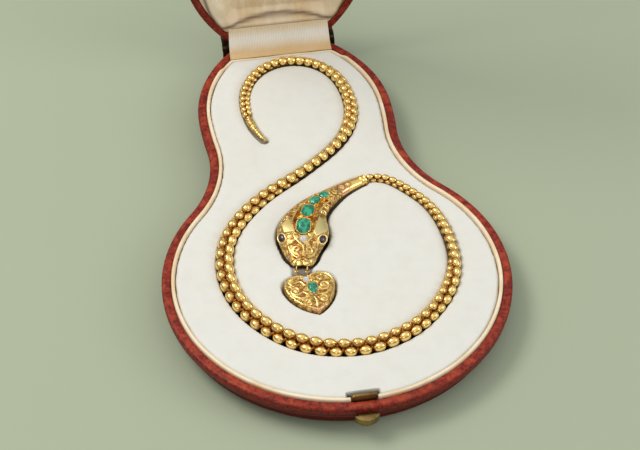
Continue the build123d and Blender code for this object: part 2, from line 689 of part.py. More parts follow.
def heart_pendant():
    """Heart drop with a raised border, two collets and two eyelets."""
    with BuildPart() as heart:
        back = laid_plane(HEART_X, HEART_Y, HEART_BOTTOM, HEART_HEADING)
        extrude(heart_outline(back), amount=HEART_TOP - HEART_BOTTOM)
        sunk = back.offset(HEART_TOP - HEART_SINK - HEART_BOTTOM)
        extrude(heart_outline(sunk, -HEART_BORDER), amount=HEART_TOP, mode=Mode.SUBTRACT)
        for _, x, y, height, width, length, heading, tilt in HEART_STONES:
            collet(laid_plane(x, y, height, heading, tilt), width, length)
        snout = snout_plane(RING_Z)
        for side in (-1, 1):
            eye = snout.from_local_coords((side * RING_X, EYELET_Y, 0))
            with Locations(Plane(origin=eye, z_dir=(0, 0, 1))):
                Torus(EYELET_R, EYELET_WIRE_R)
            root = snout.from_local_coords((side * RING_X, EYELET_Y - EYELET_R, 0))
            with BuildSketch(Plane(origin=root, z_dir=-snout.y_dir)):
                Circle(EYELET_WIRE_R)
            extrude(amount=EYELET_STEM)
        for _, x, y, height, width, length, heading, tilt in HEART_STONES:
            stone_seat(laid_plane(x, y, height, heading, tilt), width, length)
    finish(heart.part, "heart_pendant", GOLD)


def mouth_rings():
    """Two small rings that carry the heart from the bar in the mouth."""
    snout = snout_plane(RING_Z)
    for side, end in ((-1, "left"), (1, "right")):
        with BuildPart() as ring:
            middle = snout.from_local_coords((side * RING_X, RING_Y, 0))
            with Locations(Plane(origin=middle, z_dir=snout.x_dir)):
                Torus(RING_R, RING_WIRE_R)
        finish(ring.part, f"mouth_ring_{end}", GOLD)


def throat_clasp():
    """Plain clasp box under the throat."""
    with BuildPart() as clasp:
        with BuildSketch(snout_plane(-CLASP_DROP)):
            with Locations((0, CLASP_Y)):
                Rectangle(CLASP_W, CLASP_L)
        extrude(amount=CLASP_DROP + CLASP_TOP)
    finish(clasp.part, "throat_clasp", GOLD)


def tail_tip(route, last):
    """Tapering tail with a small knob, linked to the last link by its loop."""
    middle = stance(route, last)[0]
    with BuildPart() as tail:
        for distance, radius in TAIL_ROWS:
            at = min(last + distance, route.length)
            spot = route.position_at(at, position_mode=PositionMode.LENGTH)
            way = route.tangent_at(at, position_mode=PositionMode.LENGTH)
            with BuildSketch(Plane(origin=(spot.X, spot.Y, middle.Z), z_dir=way)):
                Circle(radius)
        loft()
        end_loop(route, last, 1)
        with Locations((spot.X, spot.Y, middle.Z)):
            Sphere(TAIL_KNOB_R)
    finish(tail.part, "tail_tip", GOLD)


def chain(route, spots, name):
    """A stretch of the chain as loose links that pass through each other."""
    with BuildPart() as links:
        add([link(*stance(route, along)) for along in spots])
    finish(links.part, name, GOLD)


def main():
    """Make every piece of the necklace and its case."""
    os.makedirs("parts", exist_ok=True)
    with BuildLine() as chain_line:
        Spline(*ROUTE)
    route = chain_line.wires()[0]
    spots = link_spots(route)
    base_shell()
    base_flange()
    velvet_pad(route)
    hinges()
    hinge_ribbon()
    push_catch()
    lid_shell()
    lid_lining()
    lid_keeper()
    snake_head(route)
    stones()
    heart_pendant()
    mouth_rings()
    throat_clasp()
    tail_tip(route, spots[-1])
    chain(route, [along for along in spots if along < CHAIN_SPLIT], "chain_front")
    chain(route, [along for along in spots if along >= CHAIN_SPLIT], "chain_back")


main()
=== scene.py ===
"""Looks of a snake necklace lying open in its fitted case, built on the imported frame.

Sizes are in millimetres in the tables and in metres in the meshes. The layout is a Blender add-on's.
"""

from math import atan2, cos, hypot, pi, radians, sin, sqrt, tan

import bpy
import numpy as np
from mathutils import Matrix, Vector


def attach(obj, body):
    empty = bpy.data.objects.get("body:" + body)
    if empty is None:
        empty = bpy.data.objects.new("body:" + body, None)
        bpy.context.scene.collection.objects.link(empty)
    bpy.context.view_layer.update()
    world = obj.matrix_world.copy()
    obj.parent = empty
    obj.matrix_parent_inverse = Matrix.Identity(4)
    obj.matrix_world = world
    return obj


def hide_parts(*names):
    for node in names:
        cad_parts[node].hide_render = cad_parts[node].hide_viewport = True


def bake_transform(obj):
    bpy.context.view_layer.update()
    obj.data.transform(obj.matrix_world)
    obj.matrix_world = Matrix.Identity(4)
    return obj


bl_info = {
    "name": "Snake necklace in its case",
    "version": (1, 0, 0),
    "blender": (4, 5, 0),
    "location": "3D View > Sidebar > Necklace",
    "description": "Builds the leather case, its padding and the gold snake necklace",
    "category": "Object",
}

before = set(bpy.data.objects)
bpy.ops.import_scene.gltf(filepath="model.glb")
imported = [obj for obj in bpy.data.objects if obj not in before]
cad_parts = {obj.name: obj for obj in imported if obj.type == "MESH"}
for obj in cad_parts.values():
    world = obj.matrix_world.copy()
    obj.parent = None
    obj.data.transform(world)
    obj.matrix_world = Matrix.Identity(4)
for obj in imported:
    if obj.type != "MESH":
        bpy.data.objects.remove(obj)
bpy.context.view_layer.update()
MM = 0.001

# Case outline and heights, as in the part
LOBE_R, WAIST_X, WAIST_Y, SHOULDER_X, SHOULDER_Y = 54.0, 30.9, 64.0, 32.0, 84.0
BACK_R, BACK_Y, CORNER_R = 50.0, 117.5, 2.0
RIM_Z, PAD_Z, FLOOR_Z = 10.5, 10.7, 1.6
RIM_W, BACK_RIM_W, ROLL_R = 3.0, 4.8, 5.5
LID_BASE, LID_H, LID_OPEN = 10.7, 14.0, 91.0
HINGE_Y = 124.2
CATCH_X, CATCH_Y = -1.2, -53.6

ROUTE = [
    (17.3, 42.7), (24.4, 41.8), (30.2, 36.2), (35.5, 28.4), (38.8, 18.4), (39.7, 9.0), (38.8, -1.3), (34.9, -11.7),
    (29.1, -19.7), (21.8, -26.3), (13.5, -30.6), (5.1, -32.8), (-3.4, -32.6), (-11.6, -30.5), (-19.7, -25.9),
    (-26.6, -18.9), (-32.2, -9.7), (-35.3, 1.2), (-35.1, 13.1), (-31.2, 24.6), (-24.2, 34.0), (-15.7, 41.6),
    (-6.4, 47.9), (3.3, 55.2), (12.6, 64.3), (18.9, 76.5), (20.0, 89.8), (16.9, 101.8), (9.9, 109.5),
    (0.7, 111.8), (-8.8, 108.2), (-15.8, 98.5), (-17.7, 85.2), (-16.3, 76.0), (-13.4, 69.0),
]
# Chain rows: distance along the route, width, pitch, turn of the link's face
CHAIN_ROWS = [
    (0.0, 3.0, 2.7, 75.0), (20.0, 3.3, 3.05, 65.0), (45.0, 4.1, 3.7, 60.0), (75.0, 5.0, 4.1, 50.0),
    (100.0, 5.5, 4.4, 20.0), (125.0, 5.7, 4.6, 5.0), (165.0, 5.7, 4.7, 0.0), (195.0, 5.3, 4.4, -10.0),
    (217.0, 4.8, 4.1, -30.0), (235.0, 4.5, 3.9, -85.0), (262.0, 4.6, 3.8, -150.0), (280.0, 4.5, 3.7, -200.0),
    (300.0, 4.2, 3.4, -260.0), (322.0, 3.9, 3.1, -290.0), (346.0, 3.3, 2.7, -330.0),
]
CHAIN_START, CHAIN_END, CHAIN_SPLIT, CHAIN_RISE = 2.6, 345.0, 172.0, 0.15
# How far the chain is turned from showing its two rows: distance along the route, turn
FACE_ROWS = [
    (0.0, 30.0), (30.0, 50.0), (48.0, 80.0), (66.0, 15.0), (78.0, -10.0), (95.0, 28.0), (120.0, 10.0), (145.0, 0.0),
    (180.0, -5.0), (205.0, 25.0), (228.0, 80.0), (245.0, 92.0), (262.0, 180.0), (280.0, 235.0), (298.0, 265.0),
    (318.0, 300.0), (346.0, 340.0),
]
VIEWER = (-0.1236, -0.7088, 0.6945)
TAIL_ROWS = [(2.4, 1.15), (4.2, 1.4), (8.0, 1.2), (11.5, 0.9), (14.5, 0.6), (16.2, 0.45)]

# Head rows: middle in plan, width, top and bottom above the pad
HEAD_ROWS = [
    (-10.95, 3.7, 3.4, 2.2, 1.3), (-10.75, 4.7, 6.2, 2.8, -0.6),
    (-10.4, 6.3, 8.4, 3.2, -1.5), (-9.9, 10.2, 11.8, 4.1, -1.9),
    (-8.8, 16.0, 16.2, 5.0, -2.1), (-6.8, 22.9, 16.0, 5.4, -2.1), (-4.4, 27.6, 12.4, 5.0, -2.0),
    (-1.6, 30.9, 9.8, 4.5, -1.8), (2.8, 34.4, 7.2, 3.7, -1.6), (7.9, 38.0, 5.3, 2.8, -1.4),
    (12.6, 40.6, 4.4, 2.2, -1.2), (16.2, 42.1, 3.6, 1.8, -1.1),
]
HEAD_HEADING = 12.0
# Stones: name, x, y, girdle height above the pad, width, length, heading, tilt to the front
CROWN_STONES = [
    ("emerald_1", -7.9, 18.7, 5.1, 4.7, 6.0, 14.0, 14.0), ("emerald_2", -5.3, 25.5, 5.3, 4.3, 5.4, 25.0, 4.0),
    ("emerald_3", -2.1, 30.5, 4.7, 3.4, 4.3, 38.0, 0.0), ("emerald_4", 1.5, 33.3, 4.1, 3.4, 3.5, 48.0, 0.0),
    ("brow_diamond", -8.9, 13.1, 4.5, 2.4, 2.7, 12.0, 20.0),
]
HEART_STONES = [
    ("heart_emerald", -9.0, -6.2, 1.5, 3.3, 4.2, -8.0, 8.0), ("heart_diamond", -10.6, -2.3, 1.5, 2.2, 2.6, -8.0, 0.0),
]
# Painted shade and reflection, brown-orange, where the head's crown has recesses that are not modelled: plan and size
RECESS_SHADE_SPOTS = [
    (-10.4, 22.8, 1.4), (-3.6, 21.8, 1.5), (2.6, 30.8, 1.2), (-11.6, 12.3, 1.0), (-6.4, 11.4, 1.1), (-8.9, 15.2, 1.0),
    (-6.6, 22.4, 1.0), (-3.6, 28.2, 0.9), (0.0, 32.2, 0.7),
]
HEART_X, HEART_Y, HEART_HEADING = -9.5, -7.5, -6.0
HEART_TOP, HEART_BOTTOM = 1.5, -1.8


def tint(red, green, blue):
    """A colour given as it shows on screen, 0 to 255, in Blender's linear values."""
    parts = [value / 255 for value in (red, green, blue)]
    return tuple(part / 12.92 if part <= 0.04045 else ((part + 0.055) / 1.055) ** 2.4 for part in parts)


# ---------------------------------------------------------------- settings

def colour(name, description, shade):
    """A colour setting."""
    return bpy.props.FloatVectorProperty(name=name, description=description, subtype="COLOR", size=3,
                                         min=0.0, max=1.0, default=tint(*shade))


def length(name, description, millimetres):
    """A length setting."""
    return bpy.props.FloatProperty(name=name, description=description, subtype="DISTANCE", unit="LENGTH",
                                   default=millimetres * MM, min=0.0, precision=5)


def amount(name, description, value):
    """A plain number setting."""
    return bpy.props.FloatProperty(name=name, description=description, default=value, min=0.0)


class CaseSettings(bpy.types.PropertyGroup):
    """Colours and sizes of the case and its fabrics."""

    leather: colour("Leather", "Leather where the light catches it", (160, 38, 14))
    # the dark leather serves the grain and also the painted shade low on the sides
    leather_dark: colour("Leather in its grain", "Leather in the grain and low on the sides", (78, 12, 6))
    velvet: colour("Velvet", "Pad of the base", (220, 220, 216))
    # the groove colour is painted shade with a warm painted reflection of the gold
    velvet_groove_shade: colour("Velvet in the grooves", "Pad where the gold lies in it", (150, 132, 104))
    silk: colour("Silk", "Lid lining, edge and ribbon", (238, 218, 184))
    silk_aged: colour("Aged silk", "Silk where it has yellowed", (212, 172, 112))
    dome: length("Pad dome", "Rise of the pad's middle above its edge", 0.35)
    edge_roll: length("Pad edge", "Radius of the pad's soft edge", 1.5)
    puff: length("Lid padding", "Swell of the satin in the lid", 2.6)


class GoldSettings(bpy.types.PropertyGroup):
    """Colours and sizes of the necklace."""

    gold: colour("Gold", "Polished gold", (255, 218, 136))
    # this paler gold is a painted highlight on polished plates and raised scrolls
    gold_pale: colour("Pale gold", "Polished plates and raised scrolls", (246, 229, 164))
    gold_deep: colour("Gold in shade", "Gold inside the links and in the engraving", (132, 66, 20))
    gold_pink: colour("Rose gold", "Smooth panels of the neck and the heart's tip", (244, 190, 150))
    brass: colour("Brass", "Catch, keeper and hinges", (176, 148, 92))
    emerald: colour("Emerald", "Green stones", (0, 116, 86))
    garnet: colour("Garnet", "Dark eyes", (46, 14, 22))
    wire: length("Scroll wire", "Radius of the raised scrolls", 0.2)
    claw: length("Claw", "Radius of a claw that holds a stone", 0.34)


class StageSettings(bpy.types.PropertyGroup):
    """Floor, light and camera."""

    floor: colour("Floor", "Plain floor", (165, 174, 151))
    key: amount("Key light", "Power of the large light, in watts", 4.6)
    fill: amount("Fill light", "Power of the side light, in watts", 1.7)
    world: amount("World light", "Strength of the light all round", 0.6)
    lens: bpy.props.FloatProperty(name="Lens", description="Focal length in millimetres", default=93.4, min=1.0)


# ---------------------------------------------------------------- materials

class Value:
    """A socket of a finish, so that sums on it add Math nodes."""

    def __init__(self, finish, socket):
        self.finish = finish
        self.socket = socket

    def math(self, operation, first, second=0.0):
        return self.finish.add("ShaderNodeMath", {"operation": operation}, {0: first, 1: second})

    def __add__(self, other):
        return self.math("ADD", self, other)

    def __sub__(self, other):
        return self.math("SUBTRACT", self, other)

    def __rsub__(self, other):
        return self.math("SUBTRACT", other, self)

    def __mul__(self, other):
        return self.math("MULTIPLY", self, other)

    def __truediv__(self, other):
        return self.math("DIVIDE", self, other)

    def __pow__(self, other):
        return self.math("POWER", self, other)

    __radd__ = __add__
    __rmul__ = __mul__

    def spread(self, low, high):
        """This value turned to 0 to 1 between two of its values."""
        return self.finish.add("ShaderNodeMapRange", {"clamp": True},
                               {"Value": self, "From Min": low, "From Max": high})


class Finish:
    """One material while its nodes are laid out."""

    def __init__(self, name, **constants):
        self.material = bpy.data.materials.new(name)
        self.material.use_nodes = True
        self.tree = self.material.node_tree
        self.shader = self.tree.nodes["Principled BSDF"]
        for socket, value in constants.items():
            self.shader.inputs[socket.replace("_", " ")].default_value = value
        self.place = self.add("ShaderNodeTexCoord", out="Object")

    def add(self, kind, settings=None, inputs=None, out=0):
        """A node of this kind: its settings first, then its sockets' numbers or links."""
        node = self.tree.nodes.new(kind)
        for key, value in (settings or {}).items():
            setattr(node, key, value)
        for key, value in (inputs or {}).items():
            if isinstance(value, Value):
                self.tree.links.new(value.socket, node.inputs[key])
            else:
                node.inputs[key].default_value = value
        return Value(self, node.outputs[out])

    def noise(self, scale, detail=2.0, rough=0.5, place=None):
        """Soft noise whose scale is in patches per metre."""
        return self.add("ShaderNodeTexNoise", {}, {"Vector": place or self.place, "Scale": scale, "Detail": detail,
                                                   "Roughness": rough})

    def cells(self, scale, feature="F1", place=None):
        """Distance in a pattern of cells."""
        return self.add("ShaderNodeTexVoronoi", {"feature": feature}, {"Vector": place or self.place, "Scale": scale})

    def axis(self, name):
        """One coordinate of the place, in metres."""
        return self.add("ShaderNodeSeparateXYZ", {}, {"Vector": self.place}, out=name)

    def layer(self, name):
        """A number stored on the mesh."""
        return self.add("ShaderNodeAttribute", {"attribute_name": name}, {}, out="Fac")

    def mix(self, share, first, second):
        """Two colours mixed by a share."""
        first = (*first, 1.0) if isinstance(first, tuple) else first
        second = (*second, 1.0) if isinstance(second, tuple) else second
        return self.add("ShaderNodeMix", {"data_type": "RGBA"}, {0: share, 6: first, 7: second}, out=2)

    def bump(self, height, strength, distance, under=None):
        """A bump over another."""
        inputs = {"Height": height, "Strength": strength, "Distance": distance}
        if under is not None:
            inputs["Normal"] = under
        return self.add("ShaderNodeBump", {}, inputs)

    def done(self, **links):
        """Link the worked out values into the shader."""
        for socket, value in links.items():
            self.tree.links.new(value.socket, self.shader.inputs[socket.replace("_", " ")])
        return self.material


def leather_finish(name, band):
    """Grained leather with a rim band, a seam under it, worn edges and painted shade low on the sides. Band gives the
    depth below the rim.
    """
    case = bpy.context.scene.necklace_case
    coat = Finish(name, Specular_IOR_Level=0.3, Coat_Weight=0.06, Coat_Roughness=0.3)
    depth = band(coat)
    grain = coat.cells(1500, "SMOOTH_F1") * 0.6 + coat.noise(900, 3) * 0.6
    patches = coat.noise(60, 3)
    # painted shade: the leather darkens low on the sides, where the wall curves under away from the light
    low = depth.spread(0.0024, 0.0080)
    seam = (1 - ((depth - 0.0031).math("ABSOLUTE", depth - 0.0031)).spread(0.0, 0.0004))
    worn = (1 - depth.spread(-0.0002, 0.0011)) * coat.noise(420, 4).spread(0.42, 0.68)
    shade = coat.mix(grain.spread(0.4, 0.8), tuple(case.leather_dark), tuple(case.leather))
    shade = coat.mix(low * 0.65 + patches.spread(0.35, 0.8) * 0.25, shade, tuple(case.leather_dark))
    shade = coat.mix(worn * 0.5, shade, tint(206, 88, 50))
    shade = coat.mix(seam * 0.9, shade, tint(36, 10, 8))
    normal = coat.bump(grain, 0.55, 0.00022)
    normal = coat.bump(1 - seam, 0.9, 0.0004, normal)
    return coat.done(Base_Color=shade, Roughness=0.42 + grain * 0.22, Normal=normal)


def velvet_finish():
    """Short off-white pile with painted shade: darker and warmer where the gold lies in it, near black in the deepest
    beds.
    """
    case = bpy.context.scene.necklace_case
    pile = Finish("velvet", Sheen_Weight=0.1, Sheen_Roughness=0.5, Specular_IOR_Level=0.15)
    nap = pile.noise(2600, 2)
    clouds = pile.noise(45, 3)
    rubbed = pile.noise(200, 3)
    # painted shade in the grooves, warmed by a painted reflection of the gold
    low = 1 - pile.axis("Z").spread((PAD_Z - 1.2) * MM, (PAD_Z - 0.3) * MM)
    deep = 1 - pile.axis("Z").spread((PAD_Z - 2.4) * MM, (PAD_Z - 1.0) * MM)
    shade = pile.mix(clouds.spread(0.3, 0.75) * 0.35, tuple(case.velvet), tint(214, 211, 200))
    shade = pile.mix(rubbed.spread(0.45, 0.8) * 0.18, shade, tint(196, 190, 176))
    shade = pile.mix(low * 0.6, shade, tuple(case.velvet_groove_shade))
    # painted shadow: the deepest beds under the head and heart turn near black
    shade = pile.mix(deep, shade, tint(34, 20, 12))
    normal = pile.bump(nap, 0.35, 0.00012)
    normal = pile.bump(rubbed, 0.25, 0.0003, normal)
    return pile.done(Base_Color=shade, Roughness=0.82 + nap * 0.15, Normal=normal)


def satin_finish(name, streak):
    """Satin with fine threads across, yellowed patches, painted sheen streaks and painted shade in its crease layer."""
    case = bpy.context.scene.necklace_case
    cloth = Finish(name, Sheen_Weight=0.25, Specular_IOR_Level=0.5)
    threads = cloth.add("ShaderNodeTexWave", {"bands_direction": "X"},
                        {"Vector": cloth.place, "Scale": 900.0, "Distortion": 0.6, "Detail": 2.0})
    patches = cloth.noise(70, 3)
    painted_sheen_streaks = cloth.noise(1.0, 3, place=cloth.add(
        "ShaderNodeMapping", {}, {"Vector": cloth.place, "Scale": streak}))
    shade = cloth.mix(patches.spread(0.4, 0.75) * 0.65, tuple(case.silk), tuple(case.silk_aged))
    # painted sheen: long light streaks stand in for the satin's shine
    shade = cloth.mix(painted_sheen_streaks.spread(0.45, 0.62) * 0.5, shade, tint(246, 234, 212))
    # painted shade in the crease under the puffed satin and on the band below it
    shade = cloth.mix(cloth.layer("CreaseShade"), shade, tint(92, 58, 28))
    normal = cloth.bump(threads, 0.18, 0.00008)
    return cloth.done(Base_Color=shade, Roughness=0.36 + patches * 0.2, Normal=normal)


def ribbon_finish():
    """Ribbed ribbon with a painted sheen that makes it whitish in its middle, and yellow towards its foot."""
    case = bpy.context.scene.necklace_case
    cloth = Finish("ribbed_ribbon", Sheen_Weight=0.3, Specular_IOR_Level=0.4)
    ribs = (cloth.axis("X") * (2 * pi / 0.00062))
    ribs = ribs.math("SINE", ribs) * 0.5 + 0.5
    height = cloth.axis("Z")
    sheen = height.spread(0.0115, 0.0145) * (1 - height.spread(0.0160, 0.0185))
    low = 1 - height.spread(0.0108, 0.0140)
    wear = cloth.noise(160, 3).spread(0.35, 0.75)
    shade = cloth.mix(low * 0.7 + wear * 0.2, tuple(case.silk), tuple(case.silk_aged))
    # painted sheen: a whitish band across the ribbon at mid height
    shade = cloth.mix(sheen * 0.85, shade, tint(252, 249, 242))
    shade = cloth.mix((1 - ribs) * 0.3, shade, tint(188, 156, 108))
    return cloth.done(Base_Color=shade, Roughness=0.5 + ribs * 0.15, Normal=cloth.bump(ribs, 0.6, 0.00015))


def gold_finish(name, engraving=0.0, shine=0.16):
    """Gold with painted shade in brown from its layer for hollows, rose from Rose, paler gold as a painted highlight
    from its layer for paler parts, and engraving outside Smooth.
    """
    gold = bpy.context.scene.necklace_gold
    metal = Finish(name, Metallic=1.0)
    hollow = metal.layer("Hollow")
    smears = metal.noise(500, 3)
    shade = metal.mix(smears.spread(0.4, 0.75) * 0.3, tuple(gold.gold), tint(240, 196, 112))
    rough = shine + smears * 0.12
    normal = metal.bump(smears, 0.06, 0.0001)
    if engraving:
        matt = 1 - metal.layer("Smooth")
        warped = metal.add("ShaderNodeVectorMath", {"operation": "ADD"}, {0: metal.place, 1: metal.add(
            "ShaderNodeVectorMath", {"operation": "SCALE"},
            {0: metal.add("ShaderNodeTexNoise", {}, {"Vector": metal.place, "Scale": 300.0}, out="Color"),
             "Scale": 0.0024})})
        cuts = metal.cells(470, "DISTANCE_TO_EDGE", warped).spread(0.02, 0.2)
        stipple = metal.noise(900, 2).spread(0.4, 0.62)
        shade = metal.mix((1 - cuts) * matt * 0.75, shade, tint(104, 62, 12))
        shade = metal.mix(metal.noise(380, 2).spread(0.48, 0.62) * matt * 0.5, shade, tint(168, 104, 34))
        shade = metal.mix(stipple * matt * 0.35, shade, tint(255, 236, 160))
        rough = rough + matt * 0.1
        normal = metal.bump(cuts * matt, engraving, 0.00022, normal)
        normal = metal.bump(stipple * matt, engraving * 0.5, 0.00012, normal)
        shade = metal.mix(metal.layer("Rose") * 0.8, shade, tuple(gold.gold_pink))
        # painted highlight: the Pale layer gives polished plates, raised scrolls, ridges and eye bezels a paler gold
        # that keeps them bright
        pale = metal.layer("Pale")
        shade = metal.mix(pale, shade, tuple(gold.gold_pale))
        rough = rough + pale * 0.14
    # painted shade: the Hollow layer browns the gold inside links, between beads, beside scrolls and underneath
    shade = metal.mix(hollow * 0.85, shade, tuple(gold.gold_deep))
    return metal.done(Base_Color=shade, Roughness=rough + hollow * 0.2, Normal=normal)


def brass_finish(name, age):
    """Dull brass, brushed across, with darker tarnish."""
    gold = bpy.context.scene.necklace_gold
    metal = Finish(name, Metallic=1.0)
    brushed = metal.noise(1.0, 3, place=metal.add(
        "ShaderNodeMapping", {}, {"Vector": metal.place, "Scale": (250.0, 3200.0, 3200.0)}))
    tarnish = metal.noise(450, 3)
    shade = metal.mix(tarnish.spread(0.4, 0.75) * 0.6, tuple(gold.brass), tint(98, 78, 44))
    shade = metal.mix(tarnish * 0.2 + age, shade, tint(44, 34, 24))
    return metal.done(Base_Color=shade, Roughness=0.28 + brushed * 0.22 + tarnish * 0.1,
                      Normal=metal.bump(brushed, 0.25, 0.0001))


def stone_finish(name, shade, deep, facet_highlight, clear):
    """Cut stone with painted highlights on some facets and deeper veins."""
    gem = Finish(name, IOR=1.58, Transmission_Weight=clear, Coat_Weight=0.35, Coat_Roughness=0.03)
    flaws = gem.noise(700, 3)
    facets = gem.cells(640)
    body = gem.mix(flaws.spread(0.35, 0.8) * 0.7, shade, deep)
    # painted highlight: cells of a lighter colour stand in for facets that catch the light
    body = gem.mix(facets.spread(0.45, 0.75) * 0.45, body, facet_highlight)
    return gem.done(Base_Color=body, Roughness=0.05 + flaws * 0.08, Normal=gem.bump(facets, 0.15, 0.0002))


# ---------------------------------------------------------------- mesh helpers

def alone():
    """Leave edit mode and deselect everything."""
    if bpy.context.object and bpy.context.object.mode != "OBJECT":
        bpy.ops.object.mode_set(mode="OBJECT")
    bpy.ops.object.select_all(action="DESELECT")


def pick(piece):
    """Select one piece and make it active."""
    alone()
    piece.select_set(True)
    bpy.context.view_layer.objects.active = piece


def settle(piece):
    """Bring a piece's place, turn and size into its mesh."""
    pick(piece)
    bpy.ops.object.transform_apply(location=True, rotation=True, scale=True)
    return piece


def skin(name, points, faces):
    """A piece from points in millimetres and their faces."""
    mesh = bpy.data.meshes.new(name)
    mesh.from_pydata((np.asarray(points, float) * MM).tolist(), [], faces)
    mesh.update()
    piece = bpy.data.objects.new(name, mesh)
    bpy.context.scene.collection.objects.link(piece)
    return piece


def outward(piece):
    """Merge doubles and point all faces out."""
    pick(piece)
    bpy.ops.object.mode_set(mode="EDIT")
    bpy.ops.mesh.select_all(action="SELECT")
    bpy.ops.mesh.remove_doubles(threshold=1e-6)
    bpy.ops.mesh.normals_make_consistent(inside=False)
    bpy.ops.object.mode_set(mode="OBJECT")
    return piece


def smooth(piece, angle=35.0):
    """Shade a piece smooth up to an angle."""
    pick(piece)
    bpy.ops.object.shade_smooth_by_angle(angle=radians(angle))
    return piece


def apply(piece, kind, **settings):
    """Add a modifier and apply it."""
    modifier = piece.modifiers.new(kind.lower(), kind)
    for key, value in settings.items():
        setattr(modifier, key, value)
    pick(piece)
    bpy.ops.object.modifier_apply(modifier=modifier.name)
    return piece


def loft(name, rings, first=True, last=True):
    """Closed rings of equal count skinned in order, with their ends filled."""
    rings = np.asarray(rings, float)
    count = rings.shape[1]
    faces = []
    for row in range(len(rings) - 1):
        for here in range(count):
            after = (here + 1) % count
            faces.append((row * count + here, row * count + after, (row + 1) * count + after, (row + 1) * count + here))
    if first:
        faces.append(tuple(range(count))[::-1])
    if last:
        faces.append(tuple((len(rings) - 1) * count + here for here in range(count)))
    return outward(skin(name, rings.reshape(-1, 3), faces))


def cut_box(piece, middle, size):
    """Cut a box out of a piece."""
    alone()
    bpy.ops.mesh.primitive_cube_add(size=1.0, location=Vector(middle) * MM, scale=Vector(size) * MM)
    box = settle(bpy.context.object)
    apply(piece, "BOOLEAN", operation="DIFFERENCE", solver="EXACT", object=box)
    bpy.data.objects.remove(box)
    return piece


def joined(pieces, name):
    """Pieces joined into the first one."""
    alone()
    for piece in pieces:
        piece.select_set(True)
    bpy.context.view_layer.objects.active = pieces[0]
    bpy.ops.object.join()
    pieces[0].name = name
    return pieces[0]


def paint_layer(piece, name, values):
    """Store a number at each point of a piece."""
    layer = piece.data.attributes.get(name) or piece.data.attributes.new(name, "FLOAT", "POINT")
    layer.data.foreach_set("value", np.broadcast_to(np.asarray(values, np.float32), len(piece.data.vertices)).copy())


def dress(piece, material, body, slot, *nodes):
    """Give a piece its one material, its body and the nodes it stands for. The slot is not used."""
    piece.data.materials.clear()
    piece.data.materials.append(material)
    for face in piece.data.polygons:
        face.material_index = 0
    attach(piece, body)
    if nodes:
        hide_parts(*nodes)
    return piece


def points_of(piece):
    """A piece's points, in millimetres."""
    flat = np.empty(len(piece.data.vertices) * 3)
    piece.data.vertices.foreach_get("co", flat)
    return flat.reshape(-1, 3) / MM


def opened(points):
    """Points of the closed lid, turned to open about the hinge."""
    turn = radians(-LID_OPEN)
    points = np.array(points, float)
    y, z = points[..., 1] - HINGE_Y, points[..., 2] - RIM_Z
    points[..., 1] = HINGE_Y + y * cos(turn) - z * sin(turn)
    points[..., 2] = RIM_Z + y * sin(turn) + z * cos(turn)
    return points


# ---------------------------------------------------------------- shapes of the case

def right_side(grow, back=None):
    """Right half of the case outline from the front middle to the back middle."""
    back = grow if back is None else back
    waist_r = (WAIST_X**2 + WAIST_Y**2 - LOBE_R**2) / (2 * (LOBE_R - WAIST_X))
    waist_x = WAIST_X + waist_r
    reach, rise = waist_x - SHOULDER_X, SHOULDER_Y - WAIST_Y
    shoulder_r = (reach**2 + rise**2 - waist_r**2) / (2 * (waist_r - reach))
    shoulder_x, back_x = SHOULDER_X - shoulder_r, SHOULDER_X - BACK_R
    lobe_turn = atan2(WAIST_Y, waist_x)
    waist_turn = atan2(rise, shoulder_x - waist_x)
    line = BACK_Y + back
    corner_y = line - CORNER_R
    corner_x = back_x + sqrt((BACK_R + grow - CORNER_R) ** 2 - (corner_y - SHOULDER_Y) ** 2)
    corner_turn = atan2(corner_y - SHOULDER_Y, corner_x - back_x)
    arcs = [
        (0.0, 0.0, LOBE_R + grow, -pi / 2, lobe_turn, 90), (waist_x, WAIST_Y, waist_r - grow, lobe_turn + pi, waist_turn, 30),
        (shoulder_x, SHOULDER_Y, shoulder_r + grow, waist_turn - pi, 0.0, 12),
        (back_x, SHOULDER_Y, BACK_R + grow, 0.0, corner_turn, 30), (corner_x, corner_y, CORNER_R, corner_turn, pi / 2, 8),
    ]
    points = []
    for x, y, radius, start, end, count in arcs:
        for step in range(count):
            turn = start + (end - start) * step / count
            points.append((x + radius * cos(turn), y + radius * sin(turn)))
    points += [(corner_x * (1 - step / 14), line) for step in range(15)]
    return np.array(points)


def outline(height, grow, back=None):
    """The whole case outline at a height."""
    right = right_side(grow, back)
    left = right[-2:0:-1] * (-1, 1)
    loop = np.vstack([right, left])
    return np.column_stack([loop, np.full(len(loop), height)])


def rolled(lip, roll, height, steps=9):
    """Rows of a wall that stands, rolls under and slopes in: depth, inset and the steeper back's inset."""
    rows = [(lip, 0.0, 0.0)]
    for step in range(1, steps + 1):
        turn = radians(60.0 * step / steps)
        rows.append((lip + roll * sin(turn), roll * (1 - cos(turn)), 0.0))
    depth, inset, _ = rows[-1]
    slope_in = (height - depth) / tan(radians(30.0))
    for share in (0.25, 0.5, 0.75, 0.93, 1.0):
        rows.append((depth + (height - depth) * share, inset + slope_in * share, 0.35 * slope_in * share))
    return rows


